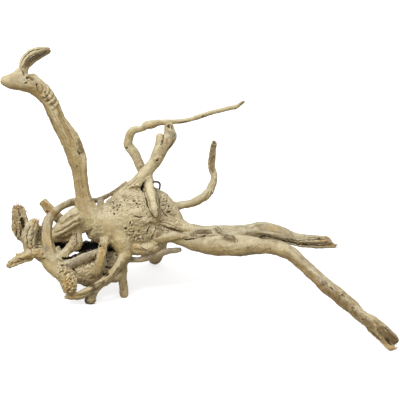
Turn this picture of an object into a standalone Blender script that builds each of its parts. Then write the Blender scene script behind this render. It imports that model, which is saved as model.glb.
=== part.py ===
"""A driftwood root of redmoor wood, grown in one piece.

A stump carries a long neck with a head and a horn, a forked branch, a thin branch, a hooked
branch, two limbs that reach far to the right, and a tangle of roots and broken stubs.
"""

import math

import bmesh
import bpy
from mathutils import Vector

MM = 0.001

# The root is laid out on a board 400 mm square that leans back and faces the viewer.
# A station on a limb is written in millimetres: across from the board's left edge, down
# from its top edge, back behind it along the viewer's line of sight, and the limb's radius.
BOARD = 400.0
LEAN = math.radians(20.0)
EYE_DISTANCE = 2500.0

# The floor cuts the board's own plane at this line, which is just above the lowest knob's rim.
FLOOR_LINE = 303.6

# The part's origin is on the floor, under the middle of the whole root.
ORIGIN_ACROSS = 196.1
ORIGIN_BACK = -36.9

# Fineness of the joined surface, how soft its joins are, and how many triangles are kept of it.
GRAIN = 1.2
JOIN_SOFTNESS = 0.5
JOIN_PASSES = 3
TRIANGLES = 9000

# Steps between two stations along a limb, and faces round a quarter of its girth.
STEPS_ALONG = 6
FACES_ROUND = 4

# Points of a tube closer together than this are one point.
SAME_POINT = 0.02

# The feet are cut flat within this distance of the floor.
CUT_TOLERANCE = 0.01

# Faces that meet at more than this angle keep a crisp edge.
CRISP_ANGLE = math.radians(50.0)

NAME = "redmoor_root"
WOOD_COLOUR = (0.47, 0.37, 0.21, 1.0)
WOOD_ROUGHNESS = 0.78


def floor_height():
    """How far the floor lies below the board's middle, straight down, in millimetres."""
    return (FLOOR_LINE - BOARD / 2) * math.cos(LEAN)


def place(across, down, back):
    """The place of a station in the part's own frame, in metres."""
    spread = 1.0 + back / EYE_DISTANCE
    aside = (across - BOARD / 2) * spread
    rise = (BOARD / 2 - down) * spread
    return MM * Vector((
        aside + BOARD / 2 - ORIGIN_ACROSS,
        back * math.cos(LEAN) + rise * math.sin(LEAN) - ORIGIN_BACK,
        rise * math.cos(LEAN) - back * math.sin(LEAN) + floor_height(),
    ))


def back_at_floor(down):
    """How far behind the board a station at this line has to lie to touch the floor."""
    rise = (BOARD / 2 - down) * math.cos(LEAN)
    return (rise + floor_height()) / (math.sin(LEAN) - rise / EYE_DISTANCE)


# Each limb is a chain of stations (across, down, back, radius), in millimetres.
STUMP = {
    "stump": (
        (90, 224, 3, 14), (98, 224, 6, 17), (106, 223.5, 9, 20), (118, 221, 14, 28),
        (130, 219, 18, 33.5), (145, 218, 20, 33), (156, 217.5, 19, 28.5), (164, 219, 17, 21.8),
        (170, 222, 15, 16), (177, 227, 13, 12), (186, 231.5, 12, 9.5),
    ),
    "stump_column": ((122, 236, 6, 15), (124, 247, 2, 10), (126, 256, 0, 5.5)),
    "stump_ledge": ((124, 245, 8, 9), (135, 247.8, 4, 7), (147, 248, 2, 6.7), (158, 245, 3, 6.5)),
    "lower_burl": (
        (122, 250, 20, 13), (112, 262, 16, 10.5), (104, 267, 13, 11), (94, 270, 10, 14),
        (84, 271.5, 7, 12.5), (76, 274, 3, 9.5), (71, 275, 1, 7),
    ),
    "burl_keel": (
        (108, 277, 16, 6.5), (98, 282, 14, 7), (90, 283.5, 11, 6.6), (83.5, 281, 9, 6),
        (76, 277, 6, 5.5),
    ),
    "dark_heart": (
        (50, 246, 12, 4), (58, 245, 18, 6.4), (66, 244.5, 22, 5.4), (76, 247, 24, 4.4),
        (86, 246, 24, 6.4), (96, 246.5, 22, 5), (110, 250, 22, 9),
    ),
    "dark_floor": (
        (90, 249, 22, 5), (80, 253.6, 20, 4), (72, 258.8, 16, 3.3), (65, 259.5, 12, 3.3),
        (57, 258, 8, 4),
    ),
    "back_rib_left": (
        (124, 200, 20, 6), (114, 208, 33, 9), (105, 226, 38, 11), (101, 245, 33, 9.5),
        (100, 262, 22, 8),
    ),
    "back_rib_right": (
        (136, 200, 24, 8), (143, 207, 40, 11), (150, 220, 51, 13), (156, 233, 66, 12),
        (157, 243, 79, 10),
    ),
}

NECK = {
    "neck": (
        (95, 222, 5, 14), (88.5, 213, 2, 11.5), (85, 205, 1, 9.5), (83, 195, 0, 7.4),
        (81.3, 185, -2, 6.9), (79.9, 175, -4, 7), (78.7, 165, -6, 8.7), (74.8, 150, -8, 9.3),
        (70.2, 140, -9, 9.5), (63.8, 130, -10, 8.5), (58.1, 120, -11, 7.2), (53.7, 110, -12, 7.4),
        (48.8, 100.6, -13, 7.7), (41.4, 92, -14, 8.7), (32, 85.4, -15, 8.9), (22, 82.5, -16, 8.4),
        (12, 82, -17, 6.8), (5, 81.3, -18, 4.6), (1.6, 80.8, -18, 2),
    ),
    "brow": ((24, 81, -13, 6), (32, 80, -12, 5.5), (38.5, 85.6, -12, 5.6), (45, 93.6, -12, 5.2)),
    "crown_web": ((9, 79.4, -15, 4), (16.5, 75.8, -13, 4.6), (20.5, 71.5, -12, 4)),
    "horn": (
        (22.5, 78, -12, 6), (22.3, 70, -11, 4.6), (23.6, 64.8, -10, 5.3), (28, 58.8, -9, 6.2),
        (34.6, 54.2, -8, 6.4), (41, 52.3, -7, 5.2), (46.2, 51, -6, 3.7), (50, 50.2, -6, 2),
    ),
}

BRANCHES = {
    "forked_branch": (
        (127, 203, 18, 16), (133, 189, 13, 8.5), (139, 181.5, 9, 7), (144.5, 175.5, 7, 7),
        (149, 169, 5, 5.6), (155.2, 162, 4, 5.8), (158.3, 155, 3, 6.4), (161.7, 148, 2, 6.9),
        (166.3, 142, 2, 6.8), (170, 136, 2, 6.4), (169.4, 130, 2, 5.2), (168.3, 124.4, 2, 4.4),
    ),
    "left_prong": (
        (160.5, 150, 2, 5.2), (159.5, 143, 1, 4), (159.3, 138, 0, 3.7), (159.3, 136.4, 0, 3.5),
    ),
    "thin_branch": (
        (147, 202, 26, 12), (144, 187, 26, 7.5), (142.2, 172, 22.5, 4.9), (137.6, 160, 20, 4.6),
        (133, 151, 18, 4.6), (128.7, 145, 16, 4.7), (129, 140, 15, 4.1), (130.8, 135, 13, 4.1),
        (132.8, 131.2, 12, 3.6),
        (136.5, 129.3, 11, 2.9), (141.4, 128.6, 10, 2.4), (147.2, 125, 9, 4), (151.4, 124.6, 8, 4),
        (157, 122.8, 7, 2.9), (163, 122.4, 7, 2.6), (170, 122, 7, 2.2), (180, 121.4, 9, 1.8),
        (190, 119.6, 11, 1.75), (200, 116.2, 14, 1.9), (210, 112.9, 17, 1.8), (220, 110.6, 20, 1.7),
        (230, 108.1, 23, 1.7), (236, 107.6, 25, 1.7), (240, 105.2, 26, 1.5), (244.8, 101.8, 27, 1),
    ),
    "hook_branch": (
        (160, 212, 22, 11), (170, 207.7, 23, 6.4), (178, 205.7, 24, 4.2), (185, 204.5, 25, 3.5),
        (192, 203, 26, 3.8), (198, 200.2, 27, 4.1), (204, 196.6, 28, 4.3),
        (208.9, 191.8, 29, 4), (211.8, 186, 30, 3.4), (213.8, 180.5, 31, 2.9),
        (213.8, 174, 32, 3.1), (211.8, 168, 33, 3.1), (211.7, 162, 33, 3.5), (212.7, 155, 33, 3),
        (213.5, 148, 33, 2.5), (214.5, 142.6, 33, 2.2),
    ),
    "strap": (
        (150, 176, 5, 2.6), (148.8, 182, 1, 3.5), (151, 192, -6, 3.4), (153.2, 200, -9, 3.3),
        (155, 209, -10, 2.6), (156.8, 218, -9, 1.2),
    ),
}

RIGHT_LIMBS = {
    "back_limb": (
        (172, 226, 16, 13), (180, 229.5, 14, 10.5), (188, 231.6, 13, 9), (197, 232.6, 12, 7.4),
        (207, 232.7, 12, 6.7), (220, 232.5, 12, 7), (234, 232.3, 13, 7), (248, 231.3, 14, 7.3),
        (258, 230.7, 16, 8), (268, 231.3, 18, 8.3), (280, 233.6, 21, 7.6), (290, 237.7, 24, 6.4),
        (303, 240.7, 28, 6.2), (315, 242, 32, 6.3), (326, 242.6, 36, 5.9), (332, 244.5, 38, 3.2),
        (336, 246.2, 39, 1.2),
    ),
    "front_limb": (
        (148, 232, 12, 9), (160, 235, 1, 8.2), (172, 237.4, -3, 6.2), (185, 241.6, -6, 6),
        (200, 245.2, -10, 7), (215, 247, -14, 8.4), (228, 248, -18, 7.6), (242, 247.7, -22, 8),
        (255, 247, -27, 7.3), (266, 246.3, -32, 6.8), (276, 248, -37, 7), (286, 252, -42, 7.3),
        (294, 257.2, -48, 6.8), (303, 265.3, -54, 6.1), (313, 274.2, -61, 6.2),
        (325, 285.2, -69, 6.4),
        (338, 296.2, -78, 6.9), (351.4, 307.6, -87, 6.3), (362.8, 316.6, -95, 5.8),
        (372, 322.6, -100, 6.4), (381, 329.9, -104, 6.5), (388, 335.9, -107, 6.3),
        (394, 339.8, -108, 4.7), (396.8, 342.6, -108, 2.5),
    ),
    "fork_web": (
        (212, 240.4, -2, 5.5), (226, 240.5, -3, 5.6), (240, 240.2, -4, 5), (249, 239.6, -5, 3.8),
    ),
    "fork_web_back": (
        (212, 238.2, 6, 6), (226, 238.4, 5, 6), (240, 238.2, 4, 5.4), (249, 237.8, 4, 4.2),
    ),
    "front_limb_foot": (
        (379, 333, -104, 4.4), (387, 342.5, -108, 3.2),
        (393, 349.5, back_at_floor(350.6), 2.7),
    ),
}

ROOTS = {
    "arch_root": (
        (126, 184.8, 16, 2.6), (120, 188.3, 18, 2), (112, 193.4, 20, 1.9), (106, 196.5, 21, 1.9),
        (100, 199.4, 21, 2.3), (92, 200.8, 21, 2.5), (84, 201, 20, 3.2), (75, 201.5, 18, 3.7),
        (68, 203.4, 15, 3.4), (61, 207, 12, 3.2), (55, 212, 9, 3.6), (50, 218, 7, 4.4),
        (47, 225, 5, 5), (46.3, 232, 3, 5.2), (47.5, 241, 1, 5.8), (49, 250, -2, 5.8),
        (52, 259, -4, 6.2), (57, 267, -5, 6.5), (62, 274, -6, 6.5),
    ),
    "arch_stay": ((100.5, 199.5, 20, 2.8), (100.8, 206, 14, 2.8), (101.5, 213, 6, 2)),
    "back_peg": (
        (42.6, 201.2, 32, 4), (50, 209.8, 29, 4.8), (58, 217.4, 25, 5), (66, 227, 15, 4.5),
    ),
    "ribbed_root": (
        (86, 214, 2, 10), (77, 218, 3, 11), (70.3, 223.2, 5, 10.4), (63, 230.4, 6, 8.8),
        (55, 235.4, 6, 6.6), (47, 238, 5, 6),
    ),
    "rib_underside": (
        (57, 237.5, 9, 4.5), (66, 236, 9, 5.6), (73, 233, 8, 6.5), (80, 227.8, 6, 6.2),
        (87, 226, 5, 6.8), (95, 228, 6, 9),
    ),
    "strut": (
        (76.5, 227, 4, 7), (76.5, 236, 2, 4.4), (75.5, 243, 0, 6.6), (69, 249, -2, 4.6),
        (64, 254, -4, 4.2), (59, 260, -5, 6),
    ),
    "diagonal_root": (
        (60, 268, -6, 6), (68, 264, -8, 5), (78, 259.3, -8, 4.5), (88, 254.6, -6, 4.3),
        (97, 251.8, -3, 4), (104, 250, 1, 5),
    ),
    "orange_root": (
        (112, 229, 12, 10), (106.6, 237.5, 1, 6), (103.5, 244.5, -7, 4.2), (102, 252, -11.5, 3.7),
        (100.6, 260, -13, 4), (99, 267, -10, 4.4), (96, 274, -4, 5),
    ),
    "left_mass": ((37, 253.5, 2, 5), (45.4, 258, 0, 5.7), (51.4, 264.6, -2, 7.8), (59.5, 271, -4, 8)),
    "inner_web": ((54, 250, 4, 5), (58, 256, 2, 6.5), (65, 262, 0, 6.5)),
    "left_web": ((39, 226, 10, 2.2), (38.4, 233, 9, 3), (39, 244, 7, 4.5), (40, 253, 3, 5.5)),
    "far_stub": (
        (32, 249, 3, 6), (26.6, 241, 6, 5.6), (20.2, 231.8, 9, 7.5), (19.8, 225, 9, 8.4),
        (19.8, 218, 9, 6.3), (18.7, 212, 9, 5.2), (18.5, 205.5, 9, 4.9),
    ),
    "frayed_stub": (
        (31, 253, 0, 5.5), (29, 245, 0, 5.4), (29, 236, -1, 6.6), (31.5, 228, -2, 6.3),
        (35, 221.5, -3, 4.2), (36.3, 218.8, -3, 2.6),
    ),
    "splinter_stub": (
        (46, 256, -2, 5.5), (36, 254, -4, 4.5), (27, 256, -6, 4), (19, 259.5, -8, 3.7),
        (12, 263.3, -10, 3.2), (7.6, 266.4, -11, 2),
    ),
    "crumbled_stub": (
        (62, 272, -6, 8), (67.5, 279, -9, 7.6), (69.5, 285, -11, 7), (69.3, 292, -12, 5),
    ),
    "runner_root": (
        (127, 253, 0, 6), (122, 259.5, -4, 4.4), (118, 265, -7, 3.6), (112.5, 273.5, -9, 3.9),
        (103.3, 282.3, -10, 3.9), (95, 287.6, -10, 3.8), (87, 291.8, -9, 3.9),
        (78, 295.8, -8, 3.6), (70, 296.2, -7, 3), (65.3, 296.8, -6, 1.4),
    ),
    "low_twig": (
        (124, 258.5, 8, 3.5), (133, 259.7, 6, 2.4), (143, 259, 5, 2.5), (151, 256.8, 4, 2.6),
        (160, 253.5, 3, 2.9), (168, 251.2, 2, 2.5), (176, 250.2, 1, 2.1), (181.2, 249.7, 0, 1.6),
    ),
    "leg_web": ((121, 275, 18, 4.5), (114, 279.5, 14, 2.8), (106, 277, 12, 4)),
}

FEET = {
    "bottom_knob": (
        (103, 283, 12, 5), (97, 291, 6, 3.3), (93, 296, 2, 3.9), (90.3, 300, 0, 4.8),
        (89.9, 303, back_at_floor(304.5), 4),
    ),
    "peg_leg": (
        (122.5, 250, 30, 8), (122.5, 262, 26, 4.9), (122.7, 272, 22, 4.5), (123, 282, 19, 4.5),
        (123.7, 290, 17, 4.4), (123.8, 295, 15.5, 4.1), (123.8, 298.4, back_at_floor(297.6), 2.8),
    ),
    "back_leg": (
        (157, 236, 66, 11), (157, 247, 84, 9.4), (155.5, 256, 94, 8),
        (154.3, 261, back_at_floor(262.6), 6),
    ),
}


def wood_material():
    """Dry, weathered root wood."""
    material = bpy.data.materials.new("root_wood")
    material.use_nodes = True
    shader = material.node_tree.nodes["Principled BSDF"]
    shader.inputs["Base Color"].default_value = WOOD_COLOUR
    shader.inputs["Roughness"].default_value = WOOD_ROUGHNESS
    return material


def limb_mesh(name, stations):
    """A tapering tube with closed ends through the stations of one limb."""
    curve = bpy.data.curves.new(name, "CURVE")
    curve.dimensions = "3D"
    curve.resolution_u = STEPS_ALONG
    curve.bevel_depth = 1.0
    curve.bevel_resolution = FACES_ROUND
    curve.use_fill_caps = True
    spline = curve.splines.new("BEZIER")
    spline.bezier_points.add(len(stations) - 1)
    for point, (across, down, back, radius) in zip(spline.bezier_points, stations):
        point.co = place(across, down, back)
        point.radius = radius * MM * (1.0 + back / EYE_DISTANCE)
        point.handle_left_type = "AUTO"
        point.handle_right_type = "AUTO"
    guide = bpy.data.objects.new(name, curve)
    bpy.context.collection.objects.link(guide)
    evaluated = guide.evaluated_get(bpy.context.evaluated_depsgraph_get())
    mesh = bpy.data.meshes.new_from_object(evaluated)
    bpy.data.objects.remove(guide)
    bpy.data.curves.remove(curve)
    return mesh


def gather_limbs(limb_groups):
    """All limbs in one mesh, still as separate closed tubes that run into each other."""
    gathered = bmesh.new()
    for group in limb_groups:
        for name, stations in group.items():
            tube = limb_mesh(name, stations)
            gathered.from_mesh(tube)
            bpy.data.meshes.remove(tube)
    bmesh.ops.remove_doubles(gathered, verts=gathered.verts, dist=SAME_POINT * MM)
    mesh = bpy.data.meshes.new(NAME)
    gathered.to_mesh(mesh)
    gathered.free()
    return mesh


def baked(thing):
    """The mesh of an object with its modifiers applied."""
    bpy.context.view_layer.update()
    evaluated = thing.evaluated_get(bpy.context.evaluated_depsgraph_get())
    mesh = bpy.data.meshes.new_from_object(evaluated)
    thing.modifiers.clear()
    old = thing.data
    thing.data = mesh
    bpy.data.meshes.remove(old)
    return mesh


def grow_together(thing):
    """One skin over all limbs, thinned to the wanted number of triangles."""
    skin = thing.modifiers.new("one_skin", "REMESH")
    skin.mode = "VOXEL"
    skin.voxel_size = GRAIN * MM
    soft = thing.modifiers.new("soft_joins", "SMOOTH")
    soft.factor = JOIN_SOFTNESS
    soft.iterations = JOIN_PASSES
    mesh = baked(thing)
    mesh.calc_loop_triangles()
    thin = thing.modifiers.new("fewer_faces", "DECIMATE")
    thin.ratio = TRIANGLES / len(mesh.loop_triangles)
    baked(thing)


def linked_faces(first):
    """All faces that hang together with one face."""
    found = {first}
    edge_of_search = [first]
    while edge_of_search:
        face = edge_of_search.pop()
        for edge in face.edges:
            for neighbour in edge.link_faces:
                if neighbour not in found:
                    found.add(neighbour)
                    edge_of_search.append(neighbour)
    return found


def keep_outer_skin(shape):
    """Remove the skins of pockets that are closed in between the limbs."""
    left = set(shape.faces)
    skins = []
    while left:
        skin = linked_faces(next(iter(left)))
        left -= skin
        skins.append(skin)
    skins.sort(key=len)
    for skin in skins[:-1]:
        bmesh.ops.delete(shape, geom=list(skin), context="FACES")
    loose = [vertex for vertex in shape.verts if not vertex.link_faces]
    bmesh.ops.delete(shape, geom=loose, context="VERTS")


def wear_feet_flat(shape):
    """Cut the feet off level with the floor and close them with flat faces."""
    everything = list(shape.verts) + list(shape.edges) + list(shape.faces)
    cut = bmesh.ops.bisect_plane(
        shape, geom=everything, dist=CUT_TOLERANCE * MM, plane_co=(0, 0, 0), plane_no=(0, 0, 1),
        clear_inner=True,
    )
    rims = [item for item in cut["geom_cut"] if isinstance(item, bmesh.types.BMEdge)]
    bmesh.ops.holes_fill(shape, edges=rims, sides=0)
    bmesh.ops.triangulate(shape, faces=[face for face in shape.faces if len(face.verts) > 3])


def finish_shape(thing):
    """Outer skin only, with flat feet and faces that point out."""
    shape = bmesh.new()
    shape.from_mesh(thing.data)
    keep_outer_skin(shape)
    wear_feet_flat(shape)
    bmesh.ops.recalc_face_normals(shape, faces=shape.faces)
    shape.to_mesh(thing.data)
    shape.free()
    thing.data.shade_smooth()
    thing.data.set_sharp_from_angle(angle=CRISP_ANGLE)


def build_root():
    """The whole root as one solid in a collection of its own."""
    collection = bpy.data.collections.new("redmoor_wood")
    bpy.context.scene.collection.children.link(collection)
    mesh = gather_limbs((STUMP, NECK, BRANCHES, RIGHT_LIMBS, ROOTS, FEET))
    root = bpy.data.objects.new(NAME, mesh)
    collection.objects.link(root)
    grow_together(root)
    finish_shape(root)
    root.data.materials.append(wood_material())
    return root


for leftover in list(bpy.data.objects):
    bpy.data.objects.remove(leftover)
build_root()
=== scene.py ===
# %% [markdown]
# # A driftwood root, grown in one piece
# The real object is a dry root of redmoor wood, about 39 cm long, as it is put into an
# aquarium: a pitted stump, a long neck with a head and a horn, thin branches, two limbs that
# reach far to the right, and a tangle of roots and broken stubs on the left.
# The CAD part gives its size and its limbs. This script gives it bark, grain, pits and cracks.

import itertools
import math
import time

import bpy
import numpy as np
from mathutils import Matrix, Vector
from mathutils.bvhtree import BVHTree


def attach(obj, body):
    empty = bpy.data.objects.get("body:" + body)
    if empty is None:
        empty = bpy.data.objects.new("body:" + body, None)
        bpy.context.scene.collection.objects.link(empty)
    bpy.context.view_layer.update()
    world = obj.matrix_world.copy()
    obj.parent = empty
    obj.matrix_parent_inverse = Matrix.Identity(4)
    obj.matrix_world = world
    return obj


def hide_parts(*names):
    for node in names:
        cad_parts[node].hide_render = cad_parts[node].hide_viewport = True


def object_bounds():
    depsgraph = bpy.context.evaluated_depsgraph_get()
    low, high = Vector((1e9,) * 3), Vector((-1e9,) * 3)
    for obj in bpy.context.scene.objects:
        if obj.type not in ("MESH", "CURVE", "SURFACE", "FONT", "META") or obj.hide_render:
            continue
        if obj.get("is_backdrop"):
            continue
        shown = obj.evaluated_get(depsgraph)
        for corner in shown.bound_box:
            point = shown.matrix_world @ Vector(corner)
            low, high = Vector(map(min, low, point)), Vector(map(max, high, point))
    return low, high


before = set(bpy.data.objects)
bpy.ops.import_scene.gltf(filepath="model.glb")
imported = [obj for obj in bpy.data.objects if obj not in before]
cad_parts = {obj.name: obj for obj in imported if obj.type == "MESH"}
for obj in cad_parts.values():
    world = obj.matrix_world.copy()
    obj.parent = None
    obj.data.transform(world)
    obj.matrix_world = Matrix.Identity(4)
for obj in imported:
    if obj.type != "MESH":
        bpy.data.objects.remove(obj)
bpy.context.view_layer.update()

# %% [markdown]
# ## The board that the root is drawn on
# A root has no straight edge to measure from, so it is laid out on a drawing board, 400 mm
# square, that leans back and faces the viewer. Each place is read on it as millimetres across
# and down, with a depth behind the board along the line of sight. The same board holds the
# camera, so what is drawn on it lands where it was drawn.

# %% The board and the floor
MM = 0.001
BOARD = 400.0
LEAN = math.radians(20.0)
EYE_DISTANCE = 2500.0
FLOOR_LINE = 303.6
ORIGIN_ACROSS = 196.1
ORIGIN_BACK = -36.9
FLOOR_BELOW = (FLOOR_LINE - BOARD / 2) * math.cos(LEAN)


def spot(across, down, back=0.0):
    """A place on or behind the board, in the part's own frame, in millimetres."""
    spread = 1.0 + back / EYE_DISTANCE
    aside = (across - BOARD / 2) * spread
    rise = (BOARD / 2 - down) * spread
    return np.array((
        aside + BOARD / 2 - ORIGIN_ACROSS,
        back * math.cos(LEAN) + rise * math.sin(LEAN) - ORIGIN_BACK,
        rise * math.cos(LEAN) - back * math.sin(LEAN) + FLOOR_BELOW,
    ))


def back_at_floor(down):
    """How far behind the board a place at this line has to lie to touch the floor."""
    rise = (BOARD / 2 - down) * math.cos(LEAN)
    return (rise + FLOOR_BELOW) / (math.sin(LEAN) - rise / EYE_DISTANCE)


EYE = spot(BOARD / 2, BOARD / 2, -EYE_DISTANCE)
print("eye at", EYE.round(1), "mm")

# %% [markdown]
# ## The camera
# The photograph was taken from some way off and a little above. A long lens at 2.5 m gives the
# same flat perspective. The camera looks square at the board, and the board fills the picture.

# %% Camera
bpy.ops.object.camera_add()
camera = bpy.context.object
camera.name = "viewer"
camera.location = EYE * MM
camera.rotation_euler = (math.pi / 2 - LEAN, 0.0, 0.0)
camera.data.lens_unit = "FOV"
camera.data.angle = 2 * math.atan(BOARD / 2 / EYE_DISTANCE)
camera.data.clip_start, camera.data.clip_end = 0.5, 20.0
bpy.context.scene.camera = camera
print("field of view", round(math.degrees(camera.data.angle), 2), "degrees")

# %% [markdown]
# ## The limbs
# A root branches without rules, so it could be sculpted from one block, but its limbs would
# lose their even girth. Here each limb is a chain of stations with its own radius, as a
# wire armature is for a sculptor, and the skin comes later.

# %% Stations of every limb
# Each limb is a chain of stations (across, down, back, radius), in millimetres.
STUMP = {
    "stump": (
        (90, 224, 3, 14), (98, 224, 6, 17), (106, 224.8, 9, 19), (118, 222.6, 14, 26),
        (130, 219.6, 18, 32.4), (145, 218, 20, 33), (156, 217.5, 19, 28.5), (164, 219.4, 17, 21),
        (170, 222.6, 15, 15), (177, 227.4, 13, 10.8), (186, 232, 12, 9),
    ),
    "stump_column": ((122, 236, 6, 15), (124, 247, 2, 10), (126, 256, 0, 5.5)),
    "stump_ledge": ((124, 245, 8, 9), (135, 247.8, 4, 7), (147, 248, 2, 6.7), (158, 245, 3, 6.5)),
    "lower_burl": (
        (122, 250, 20, 13), (112, 262, 16, 10.5), (104, 267, 13, 11), (94, 270, 10, 14),
        (84, 271.5, 7, 12.5), (76, 274, 3, 9.5), (71, 275, 1, 7),
    ),
    "burl_keel": (
        (108, 277, 16, 6.5), (98, 281, 14, 6.4), (90, 281.6, 11, 5.8), (83.5, 279.4, 9, 4.6),
        (76, 275.6, 6, 4.4),
    ),
    # Two lumps at the back of the tangle, seen through its holes. They are painted black and brown
    # as shade.
    "dark_heart": (
        (50, 246, 12, 4), (58, 245, 18, 6.4), (66, 244.5, 22, 5.4), (76, 247, 24, 4.4),
        (86, 247, 24, 5.4), (96, 246.5, 22, 5), (110, 250, 22, 9),
    ),
    "dark_floor": (
        (90, 249.4, 22, 4.6), (80, 255, 20, 3.4), (72, 259.8, 16, 2.9), (65, 259.5, 12, 3.3),
        (57, 258, 8, 4),
    ),
    "back_rib_left": (
        (124, 200, 20, 6), (114, 208, 33, 9), (105, 226, 38, 11), (101, 245, 33, 9.5),
        (100, 262, 22, 8),
    ),
    "back_rib_right": (
        (136, 200, 24, 8), (143, 207, 40, 11), (150, 220, 51, 13), (156, 233, 66, 12),
        (157, 243, 79, 10),
    ),
}

NECK = {
    "neck": (
        (95, 222, 5, 14), (88.5, 213, 2, 11.5), (85, 205, 1, 9.5), (83, 195, 0, 7.4),
        (81.3, 185, -2, 6.9), (79.9, 175, -4, 7), (78.6, 165, -6, 8.3), (74, 150, -8, 9.1),
        (69.9, 140, -9, 9.3), (63.8, 130, -10, 8.5), (58.1, 120, -11, 7.2), (53.7, 110, -12, 7.4),
        (49.2, 100.4, -13, 7.3), (42, 91.4, -14, 8.2), (32.4, 84.9, -15, 8.4), (22, 82.3, -16, 8.2),
        (12, 81.7, -17, 6.9), (4.6, 80.6, -18, 5), (1, 80, -18, 3),
    ),
    "brow": ((24, 81.6, -13, 5.4), (32, 80.8, -12, 5), (38.5, 86, -12, 5.2), (45, 93.8, -12, 5)),
    "crown_web": ((9, 79.4, -15, 4), (16.5, 75.8, -13, 4.6), (20.5, 71.5, -12, 4)),
    "horn": (
        (22.5, 78, -12, 6), (23, 70, -11, 4.2), (25, 64.8, -10, 4.9), (29.4, 59.2, -9, 6),
        (35.6, 54.6, -8, 6.1), (41.4, 52.4, -7, 4.9), (46.2, 51, -6, 3.7), (50, 50.2, -6, 2),
    ),
}

BRANCHES = {
    "forked_branch": (
        (127, 203, 18, 16), (133, 189, 13, 8.5), (139, 181.5, 9, 7), (144.5, 175.5, 7, 7),
        (149, 169, 5, 5.6), (155.2, 162, 4, 5.8), (158.3, 155, 3, 6.4), (161.7, 148, 2, 6.9),
        (166.3, 142, 2, 6.8), (170, 136, 2, 6.4), (169.4, 130, 2, 5.2), (168.3, 124.4, 2, 4.4),
    ),
    "left_prong": (
        (160, 150, 2, 5), (159.3, 143, 0, 3.6), (159.4, 137, -1, 3.3), (159.6, 134.4, -1, 3),
        (159.6, 133.2, -1, 2.2),
    ),
    "thin_branch": (
        (147, 202, 26, 12), (144, 187, 26, 7.5), (142.6, 172, 22.5, 4.5), (137.4, 160.2, 20, 4.4),
        (133, 151, 18, 4.6), (128.2, 145, 16, 4.5), (128.6, 139.6, 15, 4), (130.2, 134, 13, 3.9),
        (132.6, 130.6, 12, 3.6), (136.5, 129.3, 11, 2.9), (141.4, 128.6, 10, 2.4),
        (147.2, 125, 9, 4), (151.4, 124.6, 8, 4),
        (157, 122.8, 7, 2.9), (163, 122.4, 7, 2.6), (170, 122, 7, 2.2), (180, 121.4, 9, 1.8),
        (190, 119.6, 11, 1.75), (200, 116.2, 14, 1.9), (210, 112.9, 17, 1.8), (220, 110.6, 20, 1.7),
        (230, 108.1, 23, 1.7), (235.6, 106.8, 25, 1.7), (239.6, 104.4, 26, 1.4),
        (244.6, 101.2, 27, 0.8),
    ),
    "hook_branch": (
        (160, 212, 22, 11), (170, 207.7, 23, 6.4), (178, 205.7, 24, 4.2), (185, 204.5, 25, 3.5),
        (192, 203, 26, 3.8), (198, 200.2, 27, 4.1), (204, 196.6, 28, 4.3),
        (208.9, 191.8, 29, 4), (211.8, 186, 30, 3.4), (213.8, 180.5, 31, 2.9),
        (213.8, 174, 32, 3.1), (211.8, 168, 33, 3.1), (211.7, 162, 33, 3.5), (212.7, 155, 33, 3),
        (213.5, 148, 33, 2.5), (214.3, 143, 33, 2.3), (214.7, 140.6, 33, 1.8),
    ),
    "strap": (
        (150, 176, 5, 2.6), (148.8, 182, 1, 3.5), (151, 192, -6, 3.4), (153.2, 200, -9, 3.3),
        (155, 209, -10, 2.6), (156.8, 218, -9, 1.2),
    ),
}

RIGHT_LIMBS = {
    "back_limb": (
        (172, 226.4, 16, 12.4), (180, 230, 14, 9.6), (188, 231.8, 13, 8.7), (197, 232.6, 12, 7.4),
        (207, 232.7, 12, 6.7), (220, 232.5, 12, 7), (234, 232.3, 13, 7), (248, 231.3, 14, 7.3),
        (258, 230.7, 16, 8), (268, 231.3, 18, 8.3), (280, 233.6, 21, 7.6), (290, 237.7, 24, 6.4),
        (303, 240.7, 28, 6.2), (315, 242, 32, 6.3), (325, 242.9, 36, 5.4), (331, 245, 38, 2.8),
        (336, 246.2, 39, 1.2),
    ),
    "front_limb": (
        (148, 232, 12, 9), (160, 235, 1, 8.2), (172, 236.8, -3, 5.6), (185, 241, -6, 5.6),
        (200, 245.2, -10, 7), (215, 247, -14, 8.4), (228, 248, -18, 7.6), (242, 247.7, -22, 8),
        (255, 247, -27, 7.3), (266, 246.3, -32, 6.8), (276, 248, -37, 7), (286.6, 251.6, -42, 7),
        (294.8, 256.8, -48, 6.6), (303.6, 264.9, -54, 5.9), (313.5, 273.8, -61, 6),
        (325, 285.2, -69, 6.4),
        (338.8, 295.6, -78, 7), (352, 307, -87, 6.5), (362.8, 316.6, -95, 5.8),
        (372, 322.6, -100, 6.4), (381, 329.9, -104, 6.5), (388, 335.9, -107, 6.3),
        (394, 339.8, -108, 4.7), (396.8, 342.6, -108, 2.5),
    ),
    "fork_web": (
        (186, 238.4, -1, 4), (199, 240, -3, 5.4), (212, 240.4, -5, 5.9), (226, 240.5, -7, 6.2),
        (240, 240.6, -10, 5.8), (252, 242, -17, 5.2), (262, 244.4, -25, 4.4),
    ),
    "fork_web_back": (
        (186, 236, 8, 5), (199, 236.6, 6, 6), (212, 236.8, 4, 6.6), (226, 236.6, 2, 7),
        (240, 235.6, 3, 6.6), (252, 233.6, 9, 5.6), (262, 232, 15, 4.6),
    ),
    "front_limb_foot": (
        (379, 333, -104, 4.4), (387, 342.5, -108, 3.2),
        (393, 349.5, back_at_floor(350.6), 2.7),
    ),
}

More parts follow.
